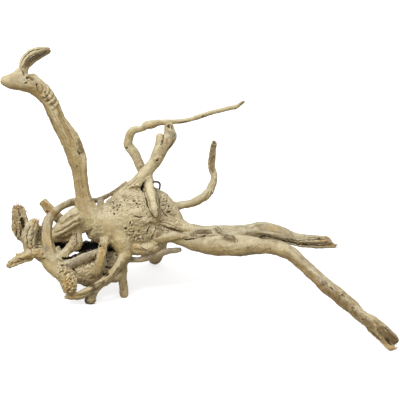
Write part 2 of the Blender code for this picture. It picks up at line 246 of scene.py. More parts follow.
ROOTS = {
    "arch_root": (
        (127, 182.4, 14, 1.9), (123, 185.2, 15, 1.4), (117.6, 189.6, 16, 1.3),
        (111, 193.6, 18, 1.4), (105.6, 196.4, 20, 1.6), (100, 199.3, 21, 2),
        (92, 200.8, 21, 2.5), (84, 201, 20, 3.2), (75, 201.5, 18, 3.7),
        (68, 203.4, 15, 3.4), (61, 207, 12, 3.2), (55, 212, 9, 3.6), (50, 218, 7, 4.4),
        (47, 225, 5, 5), (46.3, 232, 3, 5.2), (47.5, 241, 1, 5.8), (49, 250, -2, 5.8),
        (52, 259, -4, 6.2), (57, 267, -5, 6.5), (62, 274, -6, 6.5),
    ),
    "arch_stay": ((100.5, 199.5, 20, 2.8), (100.8, 206, 14, 2.8), (101.5, 213, 6, 2)),
    "back_peg": (
        (42.6, 201.2, 32, 4), (50, 209.8, 29, 4.8), (58, 217.4, 25, 5), (66, 227, 15, 4.5),
    ),
    "ribbed_root": (
        (86, 214, 2, 10), (77, 218, 3, 11), (70.3, 223.2, 5, 10.4), (63, 230.4, 6, 8.8),
        (55, 235.4, 6, 6.6), (47, 238, 5, 6),
    ),
    "rib_underside": (
        (57, 237.5, 9, 4.5), (66, 236, 9, 5.6), (73, 233, 8, 6.5), (80, 227.8, 6, 6.2),
        (87, 225.4, 5, 5.8), (95, 227, 6, 8.2),
    ),
    "strut": (
        (76.5, 227, 4, 7), (76.5, 236, 2, 4.4), (75.5, 243, 0, 6.6), (68.6, 249, -2, 4.1),
        (64, 254, -4, 4.2), (59, 260, -5, 6),
    ),
    "diagonal_root": (
        (60, 268, -5, 6), (68, 265, -6, 4.7), (78, 260.8, -6, 4.2), (88, 256.2, -4, 4),
        (97, 253.2, -1, 3.8), (104, 251, 2, 4.6),
    ),
    "hole_lintel": ((105, 238.6, 3, 3.6), (111, 240.4, 1, 3), (118.5, 243, 2, 4.6)),
    "orange_root": (
        (112, 229, 12, 10), (106.6, 237.5, 1, 6), (103.5, 244.5, -7, 4.2), (102, 252, -11.5, 3.7),
        (100.6, 260, -13, 4), (99, 267, -10, 4.4), (96, 274, -4, 5),
    ),
    "left_mass": (
        (37, 253.5, 2, 5), (45.4, 258, 0, 5.7), (51.4, 264.6, -2, 7.8), (59.5, 271, -4, 8),
    ),
    "inner_web": ((54, 250, 4, 5), (58, 256, 2, 6.5), (65, 262, 0, 6.5)),
    "left_web": ((39, 226, 10, 2.2), (38.4, 233, 9, 3), (39, 244, 7, 4.5), (40, 253, 3, 5.5)),
    "far_stub": (
        (32, 249, 3, 6), (27, 240, 6, 5), (20.6, 231, 9, 6.9), (19.8, 225, 9, 8),
        (19.4, 218, 9, 5.8), (18.4, 212, 9, 4.7), (18.2, 206.4, 9, 4.3),
    ),
    "frayed_stub": (
        (31, 253, 0, 5.5), (29, 245, 0, 5.4), (29, 236, -1, 6.6), (31.5, 228, -2, 6.3),
        (34.6, 222, -3, 3.9), (36, 219.8, -3, 2.3),
    ),
    "splinter_stub": (
        (46, 256, -2, 5.5), (36, 253.4, -4, 3.9), (27, 255.4, -6, 3.6), (19, 259.2, -8, 3.4),
        (12, 263.3, -10, 3.2), (7.6, 266.4, -11, 2),
    ),
    "crumbled_stub": (
        (62, 272, -6, 8), (67.5, 279, -9, 7.6), (69.5, 285, -11, 7), (69.3, 292, -12, 5),
    ),
    "runner_root": (
        (127, 253, 0, 6), (122, 259.5, -4, 4.4), (118, 265, -7, 3.6), (112.5, 273.5, -9, 3.9),
        (103.3, 282.3, -10, 3.9), (95, 287.6, -10, 3.8), (87, 291.8, -9, 3.9),
        (78, 295.8, -8, 3.6), (70, 296.2, -7, 3), (65.3, 296.8, -6, 1.4),
    ),
    "low_twig": (
        (124, 258.5, 8, 3.5), (133, 259.7, 6, 2.4), (143, 259, 5, 2.5), (151, 256.8, 4, 2.6),
        (160, 253.5, 3, 2.9), (168, 251.2, 2, 2.5), (176, 250.2, 1, 2.1), (181.2, 249.7, 0, 1.6),
    ),
    "leg_web": ((121, 275, 18, 4.5), (114, 279.5, 14, 2.8), (106, 277, 12, 4)),
}

FEET = {
    "bottom_knob": (
        (101, 282, 12, 4), (96, 290, 6, 2.7), (92.6, 295.6, 2, 3.5), (90.3, 300, 0, 4.8),
        (89.9, 303, back_at_floor(304.5), 4),
    ),
    "peg_leg": (
        (122.5, 250, 30, 8), (122.5, 262, 26, 4.9), (122.7, 272, 22, 4.3), (123, 282, 19, 4.1),
        (123.7, 290, 17, 4), (123.8, 294.4, 15.5, 3.6), (123.8, 297.6, back_at_floor(297.6), 2),
    ),
    "back_leg": (
        (157, 236, 66, 11), (157, 247, 84, 9.4), (155.5, 255.6, 94, 7.6),
        (154.3, 260.4, back_at_floor(262.6), 5.2),
    ),
}

# %% [markdown]
# ## From stations to centre lines
# A smooth curve through the stations gives each limb its bends. The same dense points serve
# twice: tubes are drawn along them, and later each point of the skin asks them how far along
# the limb and how far round it lies, because wood grain follows the limb.

# %% Centre lines
STEP = 1.6
WORN_ALL = 0.12
WORN_THIN = 0.42
THIN_BELOW = 4.2
THIN_SPAN = 2.4
START_SIDE = (0.3, 0.5, 0.81)


def kept_girth(radius):
    """A radius with what the later smoothing takes away, most from the thinnest limbs."""
    thinness = min(max((THIN_BELOW - radius) / THIN_SPAN, 0.0), 1.0)
    return radius + WORN_ALL + WORN_THIN * thinness


def centre_line(stations):
    """Dense points (x, y, z, radius) in millimetres on a smooth curve through the stations."""
    knots = np.array([
        (*spot(across, down, back), kept_girth(radius))
        for across, down, back, radius in stations
    ])
    gaps = np.linalg.norm(np.diff(knots[:, :3], axis=0), axis=1)
    when = np.concatenate(([0.0], np.cumsum(gaps)))
    slopes = np.gradient(knots, when, axis=0, edge_order=1)
    line = [knots[0]]
    for i, gap in enumerate(gaps):
        for t in np.linspace(0, 1, max(2, int(gap / STEP) + 1) + 1)[1:]:
            point = (
                (2 * t**3 - 3 * t**2 + 1) * knots[i] + (t**3 - 2 * t**2 + t) * gap * slopes[i]
                + (3 * t**2 - 2 * t**3) * knots[i + 1] + (t**3 - t**2) * gap * slopes[i + 1]
            )
            thin, thick = sorted((knots[i, 3], knots[i + 1, 3]))
            point[3] = min(max(point[3], thin), thick)
            line.append(point)
    return np.array(line)


def frame_along(line):
    """Tangents and two steady side directions along a line, without twist."""
    tangents = np.gradient(line[:, :3], axis=0)
    tangents /= np.linalg.norm(tangents, axis=1)[:, None]
    side = np.cross(tangents[0], START_SIDE)
    sides = []
    for tangent in tangents:
        side = side - tangent * (side @ tangent)
        side = side / np.linalg.norm(side)
        sides.append(side)
    sides = np.array(sides)
    return tangents, sides, np.cross(tangents, sides)


LIMBS = {**STUMP, **NECK, **BRANCHES, **RIGHT_LIMBS, **ROOTS, **FEET}
LINES = {name: centre_line(stations) for name, stations in LIMBS.items()}
print(len(LIMBS), "limbs,", sum(len(line) for line in LINES.values()), "points")

# %% [markdown]
# ## One skin over all limbs
# Each limb starts as a path that is given a round bevel. All tubes are joined, and a voxel
# remesh melts them into one skin, as wet clay is smeared over an armature. Booleans would keep
# a sharp seam at every joint, which wood doesn't have.

# %% Tubes
def select_only(*things):
    """Selects these objects and nothing else, and makes the first one active."""
    bpy.ops.object.select_all(action="DESELECT")
    for thing in things:
        thing.select_set(True)
    bpy.context.view_layer.objects.active = things[0]


def tube(name, lines, sides=8):
    """A curve object with a round bevel along one or more lines, made a mesh."""
    bpy.ops.object.select_all(action="DESELECT")
    bpy.ops.curve.primitive_nurbs_path_add()
    thing = bpy.context.object
    thing.name = name
    curve = thing.data
    curve.splines.clear()
    for line in lines:
        spline = curve.splines.new("POLY")
        spline.points.add(len(line) - 1)
        spline.points.foreach_set("co", np.c_[line[:, :3] * MM, np.ones(len(line))].ravel())
        spline.points.foreach_set("radius", line[:, 3] * MM)
    curve.bevel_depth = 1.0
    curve.bevel_resolution = sides
    curve.use_fill_caps = True
    bpy.ops.object.convert(target="MESH")
    return bpy.context.object


started = time.time()
tubes = [tube(name, [line]) for name, line in LINES.items()]
select_only(*tubes)
bpy.ops.object.join()
root = bpy.context.object
root.name = "redmoor_root_skin"
print("tubes", len(root.data.vertices), "points", round(time.time() - started, 1), "s")

# %% Melt the tubes into one skin
def finish_with(thing, kind, **settings):
    """Adds one modifier with its settings and applies it."""
    bpy.context.view_layer.objects.active = thing
    modifier = thing.modifiers.new(kind.lower(), kind)
    for key, value in settings.items():
        setattr(modifier, key, value)
    bpy.ops.object.modifier_apply(modifier=modifier.name)


def keep_largest(thing):
    """Removes the skins of pockets that were closed in between the limbs."""
    select_only(thing)
    bpy.ops.mesh.separate(type="LOOSE")
    parts = sorted(bpy.context.selected_objects, key=lambda part: len(part.data.vertices))
    for part in parts[:-1]:
        bpy.data.objects.remove(part)
    parts[-1].name = "redmoor_root_skin"
    bpy.context.view_layer.objects.active = parts[-1]
    return parts[-1]


FIRST_VOXEL = 0.8
finish_with(root, "REMESH", mode="VOXEL", voxel_size=FIRST_VOXEL * MM)
finish_with(root, "SMOOTH", factor=0.5, iterations=3)
root = keep_largest(root)
print("skin", len(root.data.vertices), "points", round(time.time() - started, 1), "s")

# %% Read and write the skin's points
def points_of(thing):
    """All points of a mesh in millimetres."""
    flat = np.empty(len(thing.data.vertices) * 3, np.float32)
    thing.data.vertices.foreach_get("co", flat)
    return flat.reshape(-1, 3).astype(float) / MM


def normals_of(thing):
    """The outward direction at each point of a mesh."""
    flat = np.empty(len(thing.data.vertices) * 3, np.float32)
    thing.data.vertex_normals.foreach_get("vector", flat)
    return flat.reshape(-1, 3).astype(float)


def move_points(thing, points):
    """Puts a mesh's points at new places, given in millimetres."""
    thing.data.vertices.foreach_set("co", (points * MM).astype(np.float32).ravel())
    thing.data.update()


print("top of the skin at", points_of(root)[:, 2].max().round(1), "mm")

# %% [markdown]
# ## Grain coordinates
# Grain, furrows and cracks run along a limb. Each point of the skin is therefore given three
# numbers: how far along its limb it lies, and how far off the centre line in two steady
# directions. Noise that is stretched along the first number makes fibres that follow every
# bend. Near a fork two limbs share a point, and their noise is blended.

# %% Nearest limbs of each point
LIMB_APART = 137.0
SEARCH_REACH = 14.0
FORK_BLEND = 1.6
FAR_OFF = 1e6
PAIRS_AT_ONCE = 4_000_000


def along_limbs(points):
    """Place along, aside and across for the two nearest limbs of each point."""
    count = len(points)
    best = {
        "gap": np.full((2, count), FAR_OFF), "limb": np.zeros((2, count), int),
        "place": np.zeros((2, count, 3)), "radius": np.ones((2, count)),
    }
    for number, line in enumerate(LINES.values()):
        reach = line[:, 3].max() + SEARCH_REACH
        low, high = line[:, :3].min(0) - reach, line[:, :3].max(0) + reach
        near = np.flatnonzero(np.all((points > low) & (points < high), axis=1))
        if not len(near):
            continue
        tangents, sides, crosses = frame_along(line)
        steps = np.linalg.norm(np.diff(line[:, :3], axis=0), axis=1)
        travelled = np.concatenate(([0.0], np.cumsum(steps)))
        for chunk in np.array_split(near, max(1, len(near) * len(line) // PAIRS_AT_ONCE)):
            own = points[chunk]
            away = np.sqrt(np.maximum(
                (own**2).sum(1)[:, None] + (line[:, :3]**2).sum(1)[None]
                - 2 * own @ line[:, :3].T, 0,
            ))
            pick = (away - line[:, 3]).argmin(1)
            rows = np.arange(len(chunk))
            gap = away[rows, pick] - line[pick, 3]
            offset = own - line[pick, :3]
            place = np.stack((
                travelled[pick] + (offset * tangents[pick]).sum(1) + LIMB_APART * number,
                (offset * sides[pick]).sum(1),
                (offset * crosses[pick]).sum(1),
            ), axis=1)
            first = gap < best["gap"][0, chunk]
            for key in best:
                best[key][1, chunk[first]] = best[key][0, chunk[first]]
            second = ~first & (gap < best["gap"][1, chunk])
            for level, mask in ((0, first), (1, second)):
                best["gap"][level, chunk[mask]] = gap[mask]
                best["limb"][level, chunk[mask]] = number
                best["place"][level, chunk[mask]] = place[mask]
                best["radius"][level, chunk[mask]] = line[pick[mask], 3]
    weight = np.exp(-(best["gap"] - best["gap"][0]) / FORK_BLEND)
    best["weight"] = weight / weight.sum(0)
    return best


# %% [markdown]
# ## Noise on the mesh
# Every lump and stain needs numbers that look random but change softly from place to place.
# A texture node gives such noise to a material, but the mesh needs it too, for a million points
# at once. So the noise is written out here: random arrows sit at whole-numbered places, and a
# point blends what the arrows of its cell say. A second kind measures how far the nearest of
# many scattered points lies, which makes round pits.

# %% Noise for many points at once
DECK = 4096
SEED_STEP = 31
NOISE_GAIN = 1.6
SCATTER = 0.42
DICE = np.random.RandomState(7)
MIXED = DICE.permutation(DECK)
ARROWS = DICE.normal(size=(DECK, 3))
ARROWS /= np.linalg.norm(ARROWS, axis=1)[:, None]


def scramble(cells, seed):
    """One steady random number, below the size of the deck, for each whole-numbered cell."""
    mixed = MIXED[(cells[..., 0] + SEED_STEP * seed) & (DECK - 1)]
    mixed = MIXED[(mixed + cells[..., 1]) & (DECK - 1)]
    return MIXED[(mixed + cells[..., 2]) & (DECK - 1)]


def noise(points, seed=0):
    """Smooth noise of about -1 to 1."""
    cells = np.floor(points).astype(np.int64)
    part = points - cells
    fade = part**3 * (part * (part * 6 - 15) + 10)
    total = np.zeros(len(points))
    for corner in itertools.product((0, 1), repeat=3):
        corner = np.array(corner)
        arrow = ARROWS[scramble(cells + corner, seed)]
        share = np.prod(np.where(corner, fade, 1 - fade), axis=1)
        total += share * ((part - corner) * arrow).sum(1)
    return total * NOISE_GAIN


def cell_distance(points, seed=0):
    """Distance to the nearest of one random point per cell, and that cell's random number."""
    cells = np.floor(points).astype(np.int64)
    nearest = np.full(len(points), 9.0)
    number = np.zeros(len(points), int)
    for corner in itertools.product((-1, 0, 1), repeat=3):
        cell = cells + np.array(corner)
        pick = scramble(cell, seed)
        centre = cell + 0.5 + SCATTER * ARROWS[pick]
        away = np.linalg.norm(points - centre, axis=1)
        closer = away < nearest
        nearest[closer] = away[closer]
        number[closer] = pick[closer]
    return nearest, number / (DECK - 1.0)


def grain_noise(best, size, stretch, seed, twist=0.0):
    """Noise whose grains are size across and stretch times as long along the limb."""
    total = np.zeros(best["gap"].shape[1])
    for level in (0, 1):
        place = best["place"][level]
        turn = twist * place[:, 0]
        aside = place[:, 1] * np.cos(turn) - place[:, 2] * np.sin(turn)
        across = place[:, 1] * np.sin(turn) + place[:, 2] * np.cos(turn)
        where = np.stack((place[:, 0] / (size * stretch), aside / size, across / size), axis=1)
        total += best["weight"][level] * noise(where, seed)
    return total


def smooth_step(value, low, high):
    """0 below low, 1 above high, and a soft ramp between."""
    t = np.clip((value - low) / (high - low), 0, 1)
    return t * t * (3 - 2 * t)


sample = noise(np.random.RandomState(1).uniform(0, 99, (5000, 3)))
print("noise from", sample.min().round(2), "to", sample.max().round(2))

# %% [markdown]
# ## The marks of one particular root
# What makes this root itself is not its limbs but its marks: a split horn, eye-like holes in
# the head, flakes of bark, worm-eaten burl, frayed ends. They could be carved by hand with a
# sculpting brush. Here each one is a brush stroke that is written down: a tint and its
# strength, the half width of the brush, how far it pushes the wood out (or in, below zero),
# and its path across and down the drawing board. Many strokes paint light and shade. Dark and black
# in cracks, holes and caves, and brown under ledges and in crotches, are painted shade. Pale on
# ridges and tops is painted highlight.

# %% Marks on head, horn and neck
# The dark and black tints in the eyes, holes, slits, creases and the horn's split are painted
# shade. The pale on the throat ridges and the horn's rims is painted highlight.
HEAD_MARKS = {
    "crown": ("grey", 0.25, 4.5, 0, (10, 79, 17, 77, 24, 76)),
    "crown_speck_a": ("bark_and_shade", 0.7, 0.9, -0.3, (17, 78)),
    "crown_speck_b": ("bark_and_shade", 0.7, 0.9, -0.3, (18, 81.2)),
    "crown_speck_c": ("bark_and_shade", 0.6, 0.8, -0.2, (7.5, 78.5)),
    "crown_speck_d": ("bark_and_shade", 0.6, 0.8, -0.2, (12.5, 81)),
    "cheek": ("pale_and_highlight", 0.6, 4, 0, (8, 82, 18, 83, 30, 85)),
    "chin_band": ("ochre", 0.7, 3, 0, (10, 88.5, 20, 88.5, 30, 91, 39, 95)),
    "chin_pink": ("rust", 0.5, 1.8, 0, (12, 86, 17, 86.5)),
    "chin_olive": ("bark_and_shade", 0.5, 1.6, 0, (28, 87, 31, 88)),
    "small_eye": ("dark", 0.8, 1.4, -1.5, (26.5, 78.7, 28.6, 78)),
    "deep_eye": ("black_shade", 1, 2.2, -5, (29.8, 77.2, 32, 78.5, 34, 79.8)),
    "cheek_slit": ("dark", 0.8, 0.9, -1.2, (24.5, 83, 27.5, 83.2)),
    "jaw_hole": ("dark", 0.8, 1.2, -1.5, (36.5, 85)),
    "jaw_groove": ("bark_and_shade", 0.7, 1, -1, (36.5, 86, 37, 89, 38, 92)),
    "throat_hole": ("bark_and_shade", 0.8, 1.4, -1.4, (45, 92.5)),
    "throat_hollow": ("bark_and_shade", 0.6, 1.8, -0.9, (47, 98, 48, 100)),
    "neck_hollow": ("bark_and_shade", 0.55, 2.4, -0.9, (51, 103.3, 54, 107)),
    "throat_ridge_a": ("pale_and_highlight", 0.8, 1.2, 0.8, (42.5, 95, 46, 97)),
    "throat_ridge_b": ("pale_and_highlight", 0.8, 1.2, 0.9, (46.5, 92.5, 51, 97.5)),
    "throat_ridge_c": ("pale_and_highlight", 0.8, 1.1, 0.8, (49.5, 98.5, 53, 102)),
    "head_pale": ("pale_and_highlight", 0.75, 7, 0, (3, 80, 12, 80, 22, 81)),
    "head_grey": ("grey", 0.3, 4, 0, (15, 80, 21, 80, 26, 84)),
    "head_speck_a": ("grey", 0.7, 0.9, -0.3, (12, 79.4)),
    "head_speck_b": ("grey", 0.8, 1, -0.3, (17.4, 77.4, 19, 77.6)),
    "head_speck_c": ("bark_and_shade", 0.6, 0.8, -0.3, (19.6, 82.6)),
    "horn_rim": ("pale_and_highlight", 0.8, 1.3, 0.5, (19.5, 68, 21, 60, 26, 53.5, 31, 49.8, 37, 48.3, 45, 48.6)),
    "horn_split": ("dark", 1, 1.1, -1.8, (21.6, 63, 25.2, 56.6, 29.4, 52.4, 34.5, 50.2)),
    "horn_split_end": ("bark_and_shade", 0.9, 0.8, -0.8, (34.5, 50.2, 39.5, 49.3, 45, 49)),
    "horn_inner_rim": ("pale_and_highlight", 0.8, 0.9, 0.2, (20.8, 68, 24, 61, 28.6, 55.8, 34, 52.6, 40, 50.8)),
    "horn_face": ("grey", 1.2, 3.8, -0.9, (25, 67, 29, 61.8, 35, 57.6, 41.4, 54.6, 46, 52.6)),
    "horn_face_dark": ("bark_and_shade", 0.8, 3, 0, (25, 69, 28.4, 63.4, 34, 58.4, 40, 55.4)),
    "horn_face_line_a": ("dark", 0.6, 0.6, -0.5, (26, 64, 31, 58.4, 38, 54.4, 45, 51.8)),
    "horn_face_line_b": ("dark", 0.5, 0.6, -0.5, (27.6, 66, 33, 60, 40, 56.4, 46, 53.6)),
    "horn_base_dark": ("bark_and_shade", 0.8, 1.9, -0.4, (23.4, 70, 24.2, 75)),
    "horn_tip": ("rust", 0.8, 2.6, 0, (46, 51.6, 48.6, 50.6)),
    "horn_tip_dark": ("bark_and_shade", 0.7, 2.2, -0.3, (42, 54, 46, 52.6, 50, 51)),
    "horn_tip_point": ("dark", 0.8, 0.8, -0.4, (45.5, 48.8)),
    "horn_crease": ("dark", 0.8, 0.9, -0.9, (21.9, 70.6, 22.6, 72.5, 23.4, 73.6, 24.2, 75.7)),
}

NECK_MARKS = {
    # The brown and dark lines between the cords and ropes, along the left edge and at the foot of
    # the bark patch are painted shade. The pale left band is painted highlight.
    "left_line": ("bark_and_shade", 0.8, 1, -0.5, (43.5, 103, 50, 117, 57.5, 134)),
    "left_band": ("pale_and_highlight", 0.7, 3.2, 0.3, (51, 105, 55, 115, 58.5, 125)),
    "right_band": ("ochre", 0.5, 3.4, -0.2, (56, 106, 60, 114, 65, 125, 70, 136, 72, 147)),
    "right_band_core": ("bark_and_shade", 0.4, 2.6, -0.2, (58, 109, 60.4, 116.4, 64, 126)),
    "right_band_low": ("bark_and_shade", 0.32, 3.2, 0, (62, 122, 66, 130, 71, 140)),
    "cord_gap_a": ("bark_and_shade", 0.4, 0.9, -0.5, (49, 104, 54, 114, 59, 125, 64.4, 136, 69, 148)),
    "cord_gap_b": ("bark_and_shade", 0.55, 0.9, -0.5, (59.6, 112, 64.6, 123, 70, 133, 74, 142)),
    "cord_gap_c": ("bark_and_shade", 0.22, 0.9, -0.3, (77.6, 156, 80, 170, 82, 184, 83, 198, 86, 212)),
    "rope_gap_a": ("bark_and_shade", 0.5, 0.8, -0.5, (36.4, 84.4, 38.4, 88, 38, 92)),
    "rope_gap_b": ("bark_and_shade", 0.5, 0.8, -0.5, (41, 83, 43.2, 87.6, 42.4, 92.6)),
    "rope_gap_c": ("bark_and_shade", 0.6, 1, -0.6, (43.4, 98.4, 47, 96.8, 49.6, 93.4)),
    "rope_gap_d": ("bark_and_shade", 0.6, 1, -0.6, (46.4, 102.4, 50, 100.2, 53.2, 97)),
    "rope_gap_e": ("bark_and_shade", 0.6, 0.9, -0.6, (49.4, 107, 53, 104.6, 56.4, 101.4)),
    "speck_a": ("bark_and_shade", 0.7, 1.4, -0.4, (69, 131)),
    "speck_b": ("bark_and_shade", 0.6, 1, -0.3, (64, 122)),
    "left_step": ("bark_and_shade", 0.4, 1.5, 0.6, (61.5, 144, 65, 149)),
    "bark_patch": ("bark_and_shade", 0.7, 4.2, 0.4, (77.7, 141, 79.7, 146, 81, 150.5)),
    "bark_patch_rim": ("pale_and_highlight", 0.9, 0.9, 0.5, (74.5, 137, 80, 138.5, 83.8, 146, 84.7, 151)),
    "bark_patch_foot": ("dark", 0.8, 0.8, -0.9, (77, 150, 80, 153.8, 83.5, 150.5)),
    "right_line": ("dark", 0.75, 0.9, -0.7, (84, 150, 86.5, 158, 86.5, 165, 86, 175)),
    "right_pale": ("pale_and_highlight", 0.6, 2.4, 0.3, (82, 153, 83.5, 162, 82.5, 172)),
    "middle_shade": ("ochre", 0.4, 3, -0.3, (74, 158, 77, 172, 79, 186, 81, 200)),
    "red_zone": ("rust", 0.22, 5.5, 0, (81, 176, 82, 190, 84, 204, 86, 213)),
    "loop_a": ("bark_and_shade", 0.8, 1, -0.5, (83, 187)),
}
print(len(HEAD_MARKS), "marks on the head and horn,", len(NECK_MARKS), "on the neck")

# %% Marks on the branches
BRANCH_MARKS = {
    # Painted shade here: the brown fork shade, the undersides of the thin branch and the hook, the
    # dark gaps and slits, the strap's dark edges and the black fork gap. The pale fork and stub
    # lights are painted highlight.
    "fork_shade": ("bark_and_shade", 0.5, 3.2, 0, (143, 185, 148, 180, 151, 176)),
    "fork_side": ("ochre", 0.4, 2.2, 0, (155, 168, 161, 160, 166, 151)),
    "fork_light": ("pale_and_highlight", 0.85, 3.4, 0.2, (137, 178, 146, 170, 152, 160)),
    "fork_knot": ("dark", 0.95, 1.7, -1.4, (157.3, 160)),
    "fork_knot_lip": ("pale_and_highlight", 0.8, 1.4, 0.9, (160, 156.5, 162, 158.5, 160.5, 161.5)),
    "fork_knot_spot": ("ochre", 0.8, 1.3, 0, (159.4, 157.2)),
    "prong_gap": ("dark", 0.85, 0.9, -2.2, (163.4, 134, 163.2, 139, 162, 145)),
    "prong_slit_a": ("dark", 0.9, 0.8, -0.8, (162, 140.5, 161.6, 142)),
    "prong_slit_b": ("dark", 0.8, 0.8, -0.8, (161.3, 144)),
    "prong_side": ("bark_and_shade", 0.8, 1.9, -0.2, (173.5, 140, 170.5, 146, 166.5, 151)),
    "prong_brown": ("rust", 0.7, 1.6, 0, (167.4, 138, 166.8, 145)),
    "prong_bark": ("grey", 0.7, 3.2, 0.2, (168, 132, 172, 134, 170, 138)),
    "prong_corner": ("dark", 0.6, 1.1, -0.3, (175.6, 134, 174, 137.5)),
    "prong_top": ("dark", 0.9, 1.3, -0.7, (168.6, 124, 168.9, 128)),
    "prong_top_side": ("dark", 0.9, 1, -0.8, (171.8, 125, 172.4, 129.5)),
    "prong_top_red": ("rust", 0.8, 1.4, 0, (170.4, 123.8, 170.6, 128)),
    "thin_knot_a": ("ochre", 0.9, 1.2, -0.3, (129.2, 136)),
    "thin_knot_b": ("dark", 0.9, 1.2, -0.5, (126.7, 148)),
    "thin_knot_c": ("bark_and_shade", 0.9, 1.3, 0.4, (140.6, 166.9)),
    "thin_knot_c_eye": ("dark", 0.9, 0.6, -0.4, (140.6, 166.9)),
    "thin_step": ("bark_and_shade", 0.6, 0.8, -0.4, (144.6, 125.6, 144.2, 128.4)),
    "thin_swirl": ("ochre", 0.7, 2.2, 0, (148, 127, 151.5, 124.5)),
    "thin_swirl_line": ("bark_and_shade", 0.8, 0.7, -0.7, (145.5, 130.5, 149, 127.5, 153, 126)),
    "thin_swirl_rim": ("bark_and_shade", 0.6, 0.7, -0.5, (151.5, 121.6, 153.8, 124.4, 152.8, 128)),
    "thin_peach": ("pale_and_highlight", 1, 5, 0, (128, 147, 131, 153, 136, 161, 139, 167)),
    "thin_peach_red": ("rust", 0.22, 4, 0, (131, 153, 136, 161, 139, 167)),
    "thin_underside_shade_a": ("bark_and_shade", 0.8, 1.2, 0, (178, 123, 182, 122.6, 187, 121.6)),
    "thin_underside_shade_b": ("bark_and_shade", 0.7, 1.1, 0, (155, 125.2, 163, 124.8, 172, 124.6)),
    "thin_knot_d": ("dark", 0.9, 0.9, -0.4, (201.5, 116.3, 203.6, 115.4)),
    "thin_underside_shade_c": ("bark_and_shade", 0.7, 1.1, 0, (196, 119.6, 208, 115.6, 222, 112.2)),
    "thin_knot_e": ("dark", 0.8, 0.9, -0.3, (235.6, 108.6)),
    "thin_tip": ("bark_and_shade", 0.7, 1.4, 0, (238, 106.5, 245, 101.5)),
    "twig_brown": ("bark_and_shade", 0.6, 2.4, 0, (127, 182, 118, 189, 111, 193.6, 103, 198)),
    "hook_lump": ("ochre", 0.5, 2, 0.9, (209.6, 166)),
    "hook_lump_b": ("pale_and_highlight", 0.5, 2.2, 0.8, (215.6, 178)),
    "hook_upper": ("bark_and_shade", 0.75, 3.8, 0, (214, 142, 212.5, 152, 211.6, 163, 213, 172)),
    "hook_tip": ("dark", 0.9, 1.3, -0.3, (213.6, 141.6, 214.8, 143.4)),
    "hook_streak": ("pale_and_highlight", 0.5, 1, 0.2, (209.6, 158, 210.2, 166, 211.6, 172)),
    "hook_flake": ("grey", 0.9, 1.6, 1.3, (212.4, 189.5, 212, 194)),
    "hook_flake_rim": ("pale_and_highlight", 0.9, 0.8, 0.6, (210.7, 189, 209.9, 192.6, 209, 195.5)),
    "hook_groove": ("bark_and_shade", 0.6, 0.8, -0.5, (203, 199.6, 207, 195.4, 210, 190.6)),
    "hook_underside_shade": ("ochre", 0.6, 2.2, 0, (178, 210, 186, 208.5, 196, 205, 204, 200)),
    "hook_knob": ("dark", 0.6, 0.9, 0.5, (193.6, 206)),
    "strap_face": ("pale_and_highlight", 0.9, 3.2, 0, (150, 182, 149.4, 190, 152, 202, 155, 214)),
    "strap_left": ("dark", 1, 1, -1.8, (143.6, 187, 145.6, 196, 147.8, 206, 152.4, 216.6)),
    "stub_light": ("pale_and_highlight", 0.9, 3, 0, (159.4, 134, 159, 141, 156.6, 149)),
    "fork_gap_black_shade": ("black_shade", 1, 1.9, -4, (147, 180, 144, 184, 142.4, 188, 143.4, 193)),
    "strap_line_a": ("dark", 0.9, 0.8, -1.4, (153.6, 184, 155.4, 195, 157.6, 208, 158.4, 219)),
    "strap_line_b": ("bark_and_shade", 0.8, 0.7, -0.8, (151, 215, 156, 219.5)),
    "strap_right": ("bark_and_shade", 0.6, 1.6, -0.4, (154.5, 184, 157.6, 196, 159.6, 208, 160, 219)),
}
print(len(BRANCH_MARKS), "marks on the branches")

